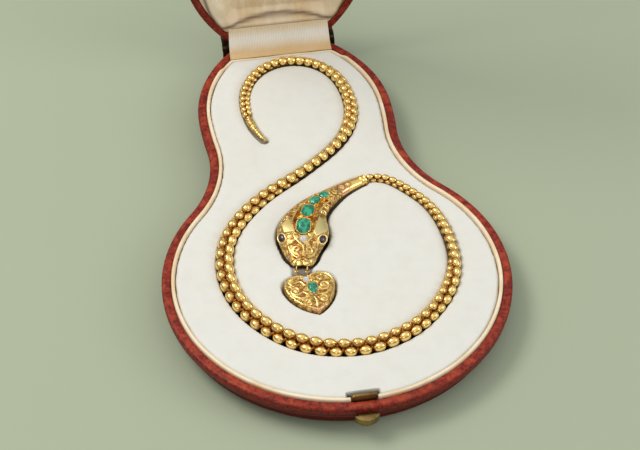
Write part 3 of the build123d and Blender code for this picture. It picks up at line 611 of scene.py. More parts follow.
def field(grow, columns, gap):
    """Points that fill the outline, row by row from front to back, and their faces. The rim comes last."""
    right = right_side(grow)
    right = right[right[:, 1] < right[-1, 1] - 1e-6]
    front = -(LOBE_R + grow)
    turns = np.arange(0.012, pi / 2, gap / -front)
    ys = list(front * np.cos(turns)) + list(np.arange(gap * 0.5, BACK_Y + grow - 2.4, gap))
    ys += list(BACK_Y + grow - 2.2 * (1 - np.sin(np.linspace(0, pi / 2, 9)[:-1]))) + [BACK_Y + grow - 0.002]
    ys = np.array(sorted(ys))
    xs = np.interp(ys, right[:, 1], right[:, 0])
    across = np.linspace(-1, 1, columns + 1)
    points = np.stack([xs[:, None] * across[None, :], np.repeat(ys[:, None], columns + 1, 1)], 2).reshape(-1, 2)
    rows, wide = len(ys), columns + 1
    faces = [(row * wide + here, row * wide + here + 1, (row + 1) * wide + here + 1, (row + 1) * wide + here)
             for row in range(rows - 1) for here in range(columns)]
    rim = list(range(wide)) + [row * wide + columns for row in range(1, rows)]
    rim += [(rows - 1) * wide + here for here in range(columns - 1, -1, -1)] + [row * wide for row in range(rows - 2, 0, -1)]
    return points, faces, rim


def nearest(points, line, chunk=4000):
    """Distance from each point to the nearest of a line's points, and which one it is."""
    far, which = np.empty(len(points)), np.empty(len(points), int)
    for start in range(0, len(points), chunk):
        gaps = ((points[start:start + chunk, None, :] - line[None, :, :]) ** 2).sum(2)
        which[start:start + chunk] = gaps.argmin(1)
        far[start:start + chunk] = np.sqrt(gaps.min(1))
    return far, which


def dense(lines):
    """Plan points of several lines, close enough to measure to."""
    found = []
    for line in lines:
        line = np.array(line)[:, :2]
        share = np.linspace(0, len(line) - 1, 6 * len(line))
        found.append(np.column_stack([np.interp(share, range(len(line)), line[:, axis]) for axis in (0, 1)]))
    return np.concatenate(found)


def inside(points, loop):
    """Which points lie within a closed loop."""
    hit = np.zeros(len(points), bool)
    for (x0, y0), (x1, y1) in zip(loop, np.roll(loop, -1, 0)):
        crosses = (y0 > points[:, 1]) != (y1 > points[:, 1])
        at = (x1 - x0) * (points[:, 1] - y0) / (y1 - y0 + 1e-12) + x0
        hit ^= crosses & (points[:, 0] < at)
    return hit


def ease(value, low, high):
    """Smooth step from 0 to 1 between two values."""
    share = np.clip((value - low) / (high - low), 0, 1)
    return share * share * (3 - 2 * share)


def row_at(rows, along):
    """A table row worked out at a distance between two of its rows."""
    for low, high in zip(rows, rows[1:]):
        if along <= high[0]:
            break
    share = min(max((along - low[0]) / (high[0] - low[0]), 0.0), 1.0)
    share = (1 - cos(pi * share)) / 2
    return [a + (b - a) * share for a, b in zip(low, high)]


def curve_through(points, step=0.25):
    """Points close together on a smooth curve through a table's points, and their distances along it."""
    points = np.array(points, float)
    place = np.concatenate([[0], np.cumsum(np.linalg.norm(np.diff(points[:, :2], axis=0), axis=1))])
    count = len(points)
    bends, ways = np.zeros((count, count)), np.zeros_like(points)
    bends[0, 0] = bends[-1, -1] = 1
    ways[0] = np.polyfit(place[:4] - place[0], points[:4], 3)[-2]
    ways[-1] = np.polyfit(place[-4:] - place[-1], points[-4:], 3)[-2]
    for here in range(1, count - 1):
        before, after = place[here] - place[here - 1], place[here + 1] - place[here]
        bends[here, here - 1:here + 2] = after, 2 * (before + after), before
        ways[here] = 3 * (before * (points[here + 1] - points[here]) / after
                          + after * (points[here] - points[here - 1]) / before)
    ways = np.linalg.solve(bends, ways)
    at = np.arange(0, place[-1] + step / 2, step).clip(0, place[-1])
    low = np.clip(np.searchsorted(place, at, side="right") - 1, 0, count - 2)
    span = (place[low + 1] - place[low])[:, None]
    t = (at - place[low])[:, None] / span
    line = ((2 * t**3 - 3 * t**2 + 1) * points[low] + (t**3 - 2 * t**2 + t) * span * ways[low]
            + (3 * t**2 - 2 * t**3) * points[low + 1] + (t**3 - t**2) * span * ways[low + 1])
    along = np.concatenate([[0], np.cumsum(np.linalg.norm(np.diff(line[:, :2], axis=0), axis=1))])
    return line, along


CHAIN_LINE, CHAIN_ALONG = curve_through(ROUTE, 0.1)


def on_route(along):
    """A point of the chain's middle and the way ahead there."""
    spot = [np.interp(along, CHAIN_ALONG, CHAIN_LINE[:, k]) for k in (0, 1)]
    near = [np.interp(min(along + 0.2, CHAIN_ALONG[-1]), CHAIN_ALONG, CHAIN_LINE[:, k])
            - np.interp(max(along - 0.2, 0.0), CHAIN_ALONG, CHAIN_LINE[:, k]) for k in (0, 1)]
    return Vector((*spot, 0.0)), Vector((*near, 0.0)).normalized()


def laid(x, y, height, heading, tilt=0.0):
    """Place above the pad whose Y points along a heading from +Y, leaning to the front, in millimetres."""
    turn, lean = radians(heading), radians(tilt)
    facing = Vector((-sin(turn) * sin(lean), -cos(turn) * sin(lean), cos(lean)))
    right = Vector((cos(turn), -sin(turn), 0))
    back = facing.cross(right)
    place = Matrix((right, back, facing)).transposed().to_4x4()
    place.translation = (x, y, PAD_Z + height)
    return place


def heart_loop(size=1.0, steps=40):
    """The heart's outline in its own plane, round from the notch."""
    def through(a, b, c):
        """Points of the arc through three points."""
        (ax, ay), (bx, by), (cx, cy) = a, b, c
        d = 2 * (ax * (by - cy) + bx * (cy - ay) + cx * (ay - by))
        ux = ((ax**2 + ay**2) * (by - cy) + (bx**2 + by**2) * (cy - ay) + (cx**2 + cy**2) * (ay - by)) / d
        uy = ((ax**2 + ay**2) * (cx - bx) + (bx**2 + by**2) * (ax - cx) + (cx**2 + cy**2) * (bx - ax)) / d
        start, end = atan2(ay - uy, ax - ux), atan2(cy - uy, cx - ux)
        while end > start:
            end -= 2 * pi
        radius = hypot(ax - ux, ay - uy)
        return [(ux + radius * cos(start + (end - start) * k / steps), uy + radius * sin(start + (end - start) * k / steps))
                for k in range(steps)]
    right = through((0, 6.3), (4.4, 8.1), (8.4, 3.2)) + through((8.4, 3.2), (6.2, -3.3), (0, -8.9)) + [(0, -8.9)]
    left = [(-x, y) for x, y in right[-2:0:-1]]
    return np.array(right + left) * size


def world_points(place, points):
    """Points of a plane, in millimetres, brought to their place."""
    turn = np.array(place.to_3x3())
    points = np.asarray(points, float)
    if points.shape[-1] == 2:
        points = np.concatenate([points, np.zeros((*points.shape[:-1], 1))], -1)
    return points @ turn.T + np.array(place.translation)


# ---------------------------------------------------------------- operators of the case

class NECKLACE_OT_leather_base(bpy.types.Operator):
    """Leather tray with a rounded rim and a rolled foot"""

    bl_idname = "necklace.leather_base"
    bl_label = "Leather base"

    def execute(self, context):
        rings = [outline(FLOOR_Z, 0.0), outline(RIM_Z - 0.5, 0.0), outline(RIM_Z - 0.15, 0.12), outline(RIM_Z, 0.5)]
        for turn in (0, 20, 40, 60, 80):
            edge = 0.9 * sin(radians(turn))
            rings.append(outline(RIM_Z - 0.9 + 0.9 * cos(radians(turn)), RIM_W - 0.9 + edge, BACK_RIM_W - 0.9 + edge))
        for depth, inset, back in rolled(1.5, ROLL_R, RIM_Z):
            rings.append(outline(RIM_Z - depth, RIM_W - inset, BACK_RIM_W - back))
        tray = loft("leather_base", rings)
        cut_box(tray, (CATCH_X, -55.5, RIM_Z - 3.2), (5.9, 6.0, 2.1))
        finish = leather_finish("leather_base", lambda coat: RIM_Z * MM - coat.axis("Z"))
        dress(smooth(tray, 40), finish, "case", "leather", "case_base")
        return {"FINISHED"}


class NECKLACE_OT_leather_lid(bpy.types.Operator):
    """Hollow leather lid, drawn closed and turned open"""

    bl_idname = "necklace.leather_lid"
    bl_label = "Leather lid"

    def execute(self, context):
        rings = []
        inner = 3.0 - 2.65
        for depth, inset, back in reversed(rolled(3.0, ROLL_R - 2.65, LID_H - 2.3)):
            rings.append(outline(LID_BASE + depth, inner - inset, inner - back))
        rings += [outline(LID_BASE + 0.3, inner), outline(LID_BASE + 0.05, inner + 0.15), outline(LID_BASE, inner + 0.45)]
        for turn in (0, 20, 40, 60, 80):
            edge = 0.8 * sin(radians(turn))
            rings.append(outline(LID_BASE + 0.8 - 0.8 * cos(radians(turn)), RIM_W - 0.8 + edge, BACK_RIM_W - 0.8 + edge))
        for depth, inset, back in rolled(3.0, ROLL_R, LID_H):
            rings.append(outline(LID_BASE + depth, RIM_W - inset, BACK_RIM_W - back))
        lid = loft("leather_lid", opened(rings))
        keeper = opened([CATCH_X, CATCH_Y - 0.575, RIM_Z + 2.5])
        cut_box(lid, keeper, (8.15, 4.15, 1.1))
        finish = leather_finish("leather_lid", lambda coat: coat.axis("Y") - (HINGE_Y + (LID_BASE - RIM_Z)) * MM)
        dress(smooth(lid, 40), finish, "lid", "leather", "lid_shell")
        return {"FINISHED"}


class NECKLACE_OT_silk_edge(bpy.types.Operator):
    """Cream silk edge that stands inside the leather rim, low at the back"""

    bl_idname = "necklace.silk_edge"
    bl_label = "Silk edge"

    def execute(self, context):
        rings = [outline(FLOOR_Z + 0.2, -0.15), outline(RIM_Z, -0.15)]
        top = RIM_Z + 0.8
        for turn in range(0, 181, 30):
            rings.append(outline(top - 0.5 + 0.5 * sin(radians(turn)), -0.75 + 0.6 * cos(radians(turn))))
        rings += [outline(RIM_Z, -1.35), outline(FLOOR_Z + 0.2, -1.35)]
        rings = np.array(rings)
        rim = rings[..., 2] > RIM_Z - 0.1
        drop = 1.1 * ease(rings[..., 1], BACK_Y - 7.0, BACK_Y - 4.0)
        wave = 0.08 * np.sin(rings[..., 0] * 0.31 + 0.7) * np.sin(rings[..., 1] * 0.23)
        rings[..., 2] += np.where(rim, wave - drop, 0.0)
        edge = loft("silk_edge", np.concatenate([rings, rings[:1]]), False, False)
        cut_box(edge, (CATCH_X, -53.0, RIM_Z), (8.5, 4.0, 9.3))
        dress(smooth(edge, 50), satin_finish("silk_edge", (120.0, 120.0, 60.0)), "case", "silk", "base_flange")
        return {"FINISHED"}


class NECKLACE_OT_velvet_pad(bpy.types.Operator):
    """Soft velvet pad with a groove for the chain and beds for the head and the heart"""

    bl_idname = "necklace.velvet_pad"
    bl_label = "Velvet pad"

    def execute(self, context):
        case = context.scene.necklace_case
        flat, faces, rim = field(-1.52, 196, 0.46)
        edge = outline(0, -1.52)[:, :2]
        edge = np.vstack([edge + (np.roll(edge, -1, 0) - edge) * share for share in (0, 0.33, 0.67)])
        near, _ = nearest(flat, edge)
        roll = case.edge_roll / MM
        top = PAD_Z + 0.1 - roll + np.sqrt(np.maximum(roll**2 - np.maximum(roll - near, 0) ** 2, 0))
        top += case.dome / MM * ease(near, 0, 30) + 0.05 * np.sin(flat[:, 0] * 0.21 + 1) * np.sin(flat[:, 1] * 0.17)
        step = 4
        halves = np.array([row_at(CHAIN_ROWS, along)[1] / 2 for along in CHAIN_ALONG[::step]])
        far, which = nearest(flat, CHAIN_LINE[::step])
        half = halves[which]
        floor = PAD_Z - half * 0.85 - 0.15
        depth = 1 - ease(far, half - 0.6, half + 0.4)
        top = top - 0.4 * np.exp(-((np.maximum(far - half, 0) / 1.7) ** 2))
        z = top + (floor - top) * depth
        rows = [(-10.7, -1.8, 4.4, 2.3, -2.3), (-11.1, 1.2, 5.8, 2.3, -2.3)] + HEAD_ROWS[1:]
        line, _ = curve_through(rows, 0.3)
        far, which = nearest(flat, line[:, :2])
        half = line[which, 2] / 2 + 0.25
        bed = PAD_Z + line[which, 4] - 0.3
        z = np.minimum(z, top + (np.minimum(bed, top) - top) * (1 - ease(far, half - 0.3, half + 0.9)))
        place = laid(HEART_X, HEART_Y, 0.0, HEART_HEADING)
        for loop, bed in ((world_points(place, heart_loop(1.04))[:, :2], HEART_BOTTOM - 0.3),
                          (self.square(-7.9, 18.7, 2.4, 3.2, 12.0), -3.9),
                          (self.square(CATCH_X, -53.3, 4.7, 2.7, 0.0), -5.0)):
            far, _ = nearest(flat, loop)
            far = np.where(inside(flat, loop), -far, far)
            z = np.minimum(z, top + (PAD_Z + bed - top) * (1 - ease(far, -0.35, 0.75)))
        points = np.column_stack([flat, z])
        skirt = points[rim].copy()
        skirt[:, 2] = FLOOR_Z + 0.15
        count, total = len(rim), len(points)
        faces = faces + [(rim[k], total + k, total + (k + 1) % count, rim[(k + 1) % count]) for k in range(count)]
        faces.append(tuple(total + k for k in range(count)))
        pad = outward(skin("velvet_pad", np.vstack([points, skirt]), faces))
        dress(smooth(pad, 60), velvet_finish(), "case", "velvet", "velvet_pad")
        return {"FINISHED"}

    @staticmethod
    def square(x, y, half_x, half_y, heading):
        """Dense points round a turned oblong."""
        run = np.linspace(-1, 1, 21)[:-1]
        loop = np.concatenate([np.column_stack(pair) for pair in (
            (run * half_x, -half_y + 0 * run), (half_x + 0 * run, run * half_y),
            (-run * half_x, half_y + 0 * run), (-half_x + 0 * run, -run * half_y))])
        return world_points(laid(x, y, 0.0, heading), loop)[:, :2]


class NECKLACE_OT_satin_lining(bpy.types.Operator):
    """Puffed satin in the lid, with soft gathers above a smooth band"""

    bl_idname = "necklace.satin_lining"
    bl_label = "Satin lining"

    def execute(self, context):
        case = context.scene.necklace_case
        flat, faces, rim = field(0.1, 150, 0.62)
        edge = outline(0, 0.1)[:, :2]
        edge = np.vstack([edge + (np.roll(edge, -1, 0) - edge) * share for share in (0, 0.33, 0.67)])
        near, _ = nearest(flat, edge)
        x, y = flat.T
        back = (BACK_Y - 1.9) - y
        lip = ease(near, 0.0, 1.0) * ease(back, -1.6, -0.6)
        slope = 7.2 * ease(np.minimum(near - 0.9, 99), 0, 8.2)
        beside, _ = nearest(flat, edge[edge[:, 1] < BACK_Y - 1.0])
        wall = ease(back, 0.0, 5.0) * ease(beside, 0.15, 7.5)
        slope = np.where(back < 9, np.minimum(slope + 7.2 * ease(-back + 9, 0, 9), 7.2) * wall, slope)
        arch = 0.4 + 2.0 * (1 - np.clip(np.abs(x) / 20, 0, 1) ** 2)
        inner = np.minimum(near - 0.2 - 1.8 * ease(back, 3, 16), back - arch)
        puff = case.puff / MM * np.sqrt(1 - (1 - np.clip(inner / 9.0, 0, 1)) ** 2)
        gathers = np.sin(x * 0.95 + 1.3 * np.sin(y * 0.07)) * 0.36 + np.sin(x * 2.3 + 0.8 * np.sin(y * 0.11 + 1)) * 0.14
        gathers *= np.exp(-np.clip(inner, 0, None) / 14.0) * ease(inner, -0.2, 1.6)
        crease = 0.5 * np.exp(-((inner + 0.1) / 0.45) ** 2)
        depth = 1.0 - 0.25 * lip + slope - puff - gathers + crease * (slope > 5)
        depth = np.maximum(depth, 1.3 - 0.6 * ease(y, BACK_Y - 6.5, BACK_Y - 4.0))
        head_line, _ = curve_through(HEAD_ROWS, 0.5)
        far, which = nearest(flat, head_line[:, :2])
        half = head_line[which, 2] / 2
        depth += (1 - ease(far, half + 0.6, half + 5.0)) * np.maximum(7.35 - depth, 0)
        room = (1 - ease(np.abs(x - CATCH_X), 4.2, 5.0)) * (1 - ease(y, -51.6, -50.6))
        depth += room * np.maximum(5.2 - depth, 0)
        lining = outward(skin("satin_lining", opened(np.column_stack([flat, LID_BASE + depth])), faces))
        # painted shade: dark brown in the crease under the puff, lighter on the band below it, only near the back edge
        crease_shade = np.exp(-(((inner + 0.15) / 0.6) ** 2)) * 0.9
        paint_layer(lining, "CreaseShade", np.maximum(crease_shade, (inner < -0.3) * (back > 0.7) * 0.22) * (back < 14))
        apply(lining, "SOLIDIFY", thickness=0.0005, offset=-1.0)
        satin = satin_finish("satin", (120.0, 12.0, 12.0))
        dress(smooth(lining, 60), satin, "lid", "silk", "lid_lining")
        return {"FINISHED"}


class NECKLACE_OT_ribbon(bpy.types.Operator):
    """Ribbed silk ribbon that bridges the hinge"""

    bl_idname = "necklace.ribbon"
    bl_label = "Hinge ribbon"

    def execute(self, context):
        run = [(116.95, 10.4), (117.7, 10.72), (118.5, 10.9), (119.4, 11.5), (120.6, 13.0), (121.8, 15.0), (122.8, 17.0), (123.5, 18.6),
               (123.8, 19.4)]
        line, along = curve_through(run, 0.3)
        wide = np.linspace(-1, 1, 97)
        rows = []
        for step, (y, z) in enumerate(line):
            share = step / (len(line) - 1)
            sag = 0.35 * sin(pi * share) * np.cos(wide * pi / 2) + 0.1 * sin(2 * pi * share) * np.sin(wide * 7)
            half = 19.2 - 0.5 * share
            rows.append(np.column_stack([wide * half, y + sag, np.full(97, z) - sag * 0.4]))
        points = np.concatenate(rows)
        faces = [(r * 97 + c, r * 97 + c + 1, (r + 1) * 97 + c + 1, (r + 1) * 97 + c)
                 for r in range(len(rows) - 1) for c in range(96)]
        ribbon = outward(skin("hinge_ribbon", points, faces))
        apply(ribbon, "SOLIDIFY", thickness=0.0003, offset=0.0)
        outward(ribbon)
        ribbon.data.materials.append(ribbon_finish())
        smooth(ribbon, 50)
        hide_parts("hinge_ribbon")
        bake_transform(ribbon)
        return {"FINISHED"}


class NECKLACE_OT_fittings(bpy.types.Operator):
    """Brass catch with softened edges, keeper and hinges"""

    bl_idname = "necklace.fittings"
    bl_label = "Brass fittings"

    def execute(self, context):
        brass, dull = brass_finish("brass", 0.2), brass_finish("tarnished_brass", 0.8)
        for node, metal in (("lid_keeper", brass), ("hinge_base_left", dull), ("hinge_base_right", dull),
                            ("hinge_lid_left", dull), ("hinge_lid_right", dull)):
            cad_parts[node].data.materials.clear()
            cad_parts[node].data.materials.append(metal)
        catch = bpy.data.objects.new("brass_catch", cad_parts["push_catch"].data.copy())
        context.scene.collection.objects.link(catch)
        outward(catch)
        apply(catch, "BEVEL", width=0.00022, segments=3, limit_method="ANGLE", angle_limit=radians(40))
        dress(smooth(catch, 35), brass, "catch", "brass", "push_catch")
        return {"FINISHED"}


# ---------------------------------------------------------------- operators of the necklace

def cut_stone(name, place, width, length, steps=((-0.42, 0.3), (-0.2, 0.72), (0.0, 1.0), (0.06, 0.98), (0.15, 0.8), (0.24, 0.56))):
    """Step cut stone: an oblong with cut corners, shaped ring by ring from culet to table."""
    corner = min(width, length) * 0.3
    half_x, half_y = width / 2, length / 2
    loop = [(half_x, -half_y + corner), (half_x, half_y - corner), (half_x - corner, half_y), (-half_x + corner, half_y),
            (-half_x, half_y - corner), (-half_x, -half_y + corner), (-half_x + corner, -half_y), (half_x - corner, -half_y)]
    rings = [[(x * share, y * share, depth * width) for x, y in loop] for depth, share in steps]
    return loft(name, world_points(place, np.array(rings)))


def claws(place, width, length, radius, rise=0.1):
    """Small rounded claws at a stone's four corners."""
    made = []
    spots = [(sx * (width / 2 - 0.1 * width), sy * (length / 2 - 0.1 * length)) for sx in (-1, 1) for sy in (-1, 1)]
    for x, y in spots:
        where = place @ Vector((x, y, rise * width))
        alone()
        bpy.ops.mesh.primitive_uv_sphere_add(segments=12, ring_count=8, radius=radius * MM, location=where * MM,
                                             rotation=place.to_euler(), scale=(1.0, 1.0, 1.15))
        made.append(settle(bpy.context.object))
    return made


def collet(place, width, length, foot, rise=0.04):
    """Thin wall round a stone, open to its pavilion."""
    rings = []
    for depth, share in ((-foot, 1.1), (-0.3, 1.1), (rise * width, 1.05), (rise * width, 0.97), (-0.12 * width, 0.94), (-foot, 0.8)):
        corner = 0.3 * min(width, length)
        half_x, half_y = width / 2, length / 2
        loop = [(half_x, -half_y + corner), (half_x, half_y - corner), (half_x - corner, half_y), (-half_x + corner, half_y),
                (-half_x, half_y - corner), (-half_x, -half_y + corner), (-half_x + corner, -half_y), (half_x - corner, -half_y)]
        rings.append([(x * share, y * share, depth) for x, y in loop])
    return loft("collet", world_points(place, np.array(rings)), False, False)


def wire(name, points, radius, taper=0.35):
    """A raised wire along points, thinner at its ends."""
    points = np.array(points, float)
    curve = bpy.data.curves.new(name, "CURVE")
    curve.dimensions = "3D"
    spline = curve.splines.new("NURBS")
    spline.points.add(len(points) - 1)
    for step, (spot, point) in enumerate(zip(spline.points, points * MM)):
        share = step / (len(points) - 1)
        spot.co = (*point, 1)
        spot.radius = taper + (1 - taper) * sin(pi * min(max(share, 0.04), 0.96)) ** 0.6
    spline.order_u = 3
    spline.use_endpoint_u = True
    curve.bevel_depth = radius
    curve.bevel_resolution = 2
    curve.use_fill_caps = True
    curve.resolution_u = 4
    piece = bpy.data.objects.new(name, curve)
    bpy.context.scene.collection.objects.link(piece)
    pick(piece)
    bpy.ops.object.convert(target="MESH")
    return bpy.context.object


def spiral(x, y, radius, turns, start, hand=1, lead=None):
    """Plan of a scroll that winds in, with an optional tail that leads to it."""
    points = [] if lead is None else [tuple(lead)]
    count = int(14 * turns)
    for step in range(count + 1):
        share = step / count
        turn = radians(start) + hand * 2 * pi * turns * share
        reach = radius * (1 - 0.82 * share)
        points.append((x + reach * cos(turn), y + reach * sin(turn)))
    return points


def draped(piece, plan, lift=0.0):
    """Plan points dropped on to a piece from above, in millimetres."""
    laid_points = []
    for x, y in plan:
        hit, spot, _, _ = piece.ray_cast(Vector((x * MM, y * MM, 0.05)), Vector((0, 0, -1)))
        if hit:
            laid_points.append((x, y, spot.z / MM + lift))
    return laid_points


class NECKLACE_OT_chain(bpy.types.Operator):
    """Graduated chain of puffed curb links that pass through each other"""

    bl_idname = "necklace.chain"
    bl_label = "Chain"

    def execute(self, context):
        spots, along = [], CHAIN_START
        while along <= CHAIN_END:
            spots.append(along)
            along += row_at(CHAIN_ROWS, along)[2]
        gold = gold_finish("chain_gold")
        for name, part in (("chain_front", [s for s in spots if s < CHAIN_SPLIT]),
                           ("chain_back", [s for s in spots if s >= CHAIN_SPLIT])):
            points, faces, hollow = [], [], []
            for along in part:
                local, inner = self.link(*row_at(CHAIN_ROWS, along)[1:3])
                start = len(points) * len(local)
                points.append(self.stand(along, local))
                hollow.append(inner)
                faces += [(start + r * 16 + c, start + r * 16 + (c + 1) % 16, start + (r + 1) % 44 * 16 + (c + 1) % 16,
                           start + (r + 1) % 44 * 16 + c) for r in range(44) for c in range(16)]
            links = skin(name + "_links", np.concatenate(points), faces)
            paint_layer(links, "Hollow", np.concatenate(hollow))
            pick(links)
            bpy.ops.object.mode_set(mode="EDIT")
            bpy.ops.mesh.select_all(action="SELECT")
            bpy.ops.mesh.normals_make_consistent(inside=False)
            bpy.ops.object.mode_set(mode="OBJECT")
            dress(smooth(links, 80), gold, "case", "gold", name)
        return {"FINISHED"}

    @staticmethod
    def link(width, pitch):
        """One link about its middle, X ahead, and its painted shade: how far inside the link each point faces, with the
        narrow ends between beads.
        """
        half = width / 2
        reach, spread, lift, slant = pitch / 2 + 0.285 * half, 0.45 * half, -0.12 * half, 0.25 * pitch
        turn = (np.arange(44) + 0.5) * 2 * pi / 44
        turn = turn + 0.25 * np.sin(2 * turn)
        middle = np.column_stack([reach * np.cos(turn) - slant * np.sin(turn), spread * np.sin(turn),
                                  lift * np.sin(2 * turn)])
        way = np.roll(middle, -1, 0) - np.roll(middle, 1, 0)
        way /= np.linalg.norm(way, axis=1)[:, None]
        out = middle - way * (middle * way).sum(1)[:, None]
        out /= np.linalg.norm(out, axis=1)[:, None]
        beside = np.cross(way, out)
        lobe = (0.465 * pitch / reach) ** 2 / 2
        swell = np.sqrt(np.clip(1 - (1 - np.abs(np.sin(turn))) / lobe, 0, 1))
        round_ = np.arange(16) * 2 * pi / 16
        wide, deep = half * (0.17 + 0.43 * swell), half * (0.17 + 0.62 * swell)
        points = (middle[:, None, :] + wide[:, None, None] * np.cos(round_)[None, :, None] * out[:, None, :]
                  + deep[:, None, None] * np.sin(round_)[None, :, None] * beside[:, None, :])
        # painted shade on the inner faces of the link and at the narrow ends where beads meet
        inner = ease(-np.cos(round_)[None, :] * np.ones((44, 1)), 0.35, 1.0)
        inner = np.maximum(inner, (1 - ease(swell, 0.25, 0.75))[:, None])
        return points.reshape(-1, 3), inner.reshape(-1)

    @staticmethod
    def stand(along, local):
        """A link's points at its place on the route, turned by its share of the chain's twist."""
        _, width, _, _ = row_at(CHAIN_ROWS, along)
        spot, ahead = on_route(along)
        level = Vector((0, 0, 1)).cross(ahead)
        facing = atan2(-level.dot(Vector(VIEWER)), VIEWER[2]) + radians(row_at(FACE_ROWS, along)[1])
        side = Matrix.Rotation(facing, 3, ahead) @ level
        basis = np.array((ahead, side, ahead.cross(side)))
        return local @ basis + np.array((spot.x, spot.y, PAD_Z + CHAIN_RISE * width / 2))


class NECKLACE_OT_snake_head(bpy.types.Operator):
    """Engraved head and neck with its brow, eyes, crown and scrolls"""

    bl_idname = "necklace.snake_head"
    bl_label = "Snake head"

    def execute(self, context):
        gold = context.scene.necklace_gold
        line, along = curve_through(HEAD_ROWS, 0.22)
        around = 120
        turn = np.arange(around) * 2 * pi / around
        rings, smooth_layer, hollow, rose = [], [], [], []
        crown = curve_through([(x, y) for _, x, y, *_ in CROWN_STONES[:4]], 0.3)[0]
        heights = np.interp(np.linspace(0, 1, len(crown)), (0, 0.4, 0.75, 1), (5.1, 5.3, 4.7, 4.1))
        halves = np.interp(np.linspace(0, 1, len(crown)), (0, 0.4, 0.75, 1), (3.5, 3.3, 2.7, 2.4))
        for step, (x, y, width, top, bottom) in enumerate(line):
            before, after = line[max(step - 1, 0)], line[min(step + 1, len(line) - 1)]
            ahead = Vector((after[0] - before[0], after[1] - before[1], 0)).normalized()
            side = np.array(ahead.cross(Vector((0, 0, 1))))
            bump = self.relief(along[step], turn)
            half_w, half_h = width / 2, (top - bottom) / 2
            ring = (np.array((x, y, PAD_Z + (top + bottom) / 2)) + np.outer(np.cos(turn) * (half_w + bump), side)
                    + np.outer(np.sin(turn) * (half_h + bump), (0, 0, 1)))
            rings.append(ring)
        rings = np.array(rings)
        flat = rings.reshape(-1, 3)
        far, which = nearest(flat[:, :2], crown)
        upper = flat[:, 2] > PAD_Z + 1.5
        sink = (1 - ease(far, halves[which] - 0.5, halves[which] + 0.25)) * upper
        flat[:, 2] -= sink * np.maximum(flat[:, 2] - (PAD_Z + heights[which] - 1.3), 0)
        head = loft("snake_head_gold", rings)
        snout = laid(-10.75, 4.7, 0.0, HEAD_HEADING)
        cut = snout @ Vector((0, 0.3, -3.4))
        alone()
        bpy.ops.mesh.primitive_cube_add(size=1.0, location=cut * MM, rotation=snout.to_euler(),
                                        scale=Vector((5.0, 3.0, 10.0)) * MM)
        gape = settle(bpy.context.object)
        apply(head, "BOOLEAN", operation="DIFFERENCE", solver="EXACT", object=gape)
        bpy.data.objects.remove(gape)
        points = points_of(head)
        upper = points[:, 2] > PAD_Z + 1.2
        # Painted shade in the Hollow layer: the underside below the pad, the crown's unmodelled recesses and a line
        # beside each scroll.
        hollow = (points[:, 2] < PAD_Z - 0.2) * 0.7
        for x, y, size in RECESS_SHADE_SPOTS:
            far = np.hypot(points[:, 0] - x, points[:, 1] - y)
            hollow = np.maximum(hollow, (1 - ease(far, size * 0.7, size * 1.25)) * upper * 0.9)
        plans = self.scroll_plans()
        far, _ = nearest(points[:, :2], dense(plans))
        hollow = np.maximum(hollow, np.exp(-(((far - 0.6) / 0.28) ** 2)) * upper * 0.75)
        _, place = nearest(points[:, :2], line[:, :2])
        at = along[place]
        paint_layer(head, "Hollow", hollow)
        collar = ease(at, 43.6, 44.2)
        panel = ease(at, 39.5, 40.2) * (1 - collar)
        paint_layer(head, "Smooth", np.maximum(collar, panel))
        paint_layer(head, "Rose", panel)
        paint_layer(head, "Pale", 0.0)
        added = self.mounts(gold) + self.brow(head, gold) + self.scrolls(head, gold, plans) + self.neck(line, along)
        for extra in added:
            paint_layer(extra, "Smooth", 1.0)
            paint_layer(extra, "Hollow", extra.get("hollow", 0.0))
            paint_layer(extra, "Rose", 0.0)
            paint_layer(extra, "Pale", extra.get("pale", 0.0))
        head = joined([head] + added, "snake_head_gold")
        dress(smooth(head, 38), gold_finish("engraved_gold", engraving=0.8, shine=0.2), "case", "gold", "snake_head")
        return {"FINISHED"}

    @staticmethod
    def relief(along, turn):
        """Swell of the head's side and top at a distance from the snout, in millimetres."""
        up, across = np.sin(turn), np.cos(turn)
        top = np.clip(up, 0, 1)
        ridge = 0.35 * np.exp(-((along - 10.5) / 2.2) ** 2) * np.exp(-((np.abs(across) - 0.5) / 0.22) ** 2)
        cheek = 0.3 * np.exp(-((along - 14.5) / 3.0) ** 2) * np.exp(-((np.abs(across) - 0.7) / 0.2) ** 2)
        groove = -0.5 * np.exp(-((along - 2.0) / 1.8) ** 2) * np.exp(-((across) / 0.1) ** 2)
        nostril = -0.6 * np.exp(-((along - 3.2) / 0.6) ** 2) * np.exp(-((np.abs(across) - 0.5) / 0.12) ** 2)
        socket = -0.5 * np.exp(-((along - 10.8) / 1.8) ** 2) * np.exp(-((np.abs(across) - 0.88) / 0.12) ** 2)
        lip = 0.12 * np.exp(-((up - 0.05) / 0.14) ** 2) * ease(np.array(along), 1.0, 4.0) * (1 - ease(np.array(along), 16, 22))
        return (ridge + groove + nostril) * (top > 0) + cheek + socket * (up > 0) + lip

    @staticmethod
    def mounts(gold):
        """Collets and claws of the crown stones, and the bezels of the eyes."""
        made = []
        for name, x, y, height, width, length_, heading, tilt in CROWN_STONES:
            place = laid(x, y, height, heading, tilt)
            made.append(collet(place, width, length_, 0.7 * width))
            made += claws(place, width, length_, gold.claw / MM * (0.8 if "diamond" in name else 1.0))
        for side in (-1, 1):
            place = eye_place(side)
            alone()
            bpy.ops.mesh.primitive_torus_add(major_segments=40, minor_segments=12, major_radius=1.5 * MM,
                                             minor_radius=0.3 * MM)
            ring = bpy.context.object
            ring.matrix_world = Matrix.Translation(place.translation * MM) @ place.to_3x3().to_4x4() @ Matrix.Diagonal(
                (0.95, 1.2, 1.2, 1.0))
            settle(ring)["pale"] = 0.5
            made.append(ring)
        return made

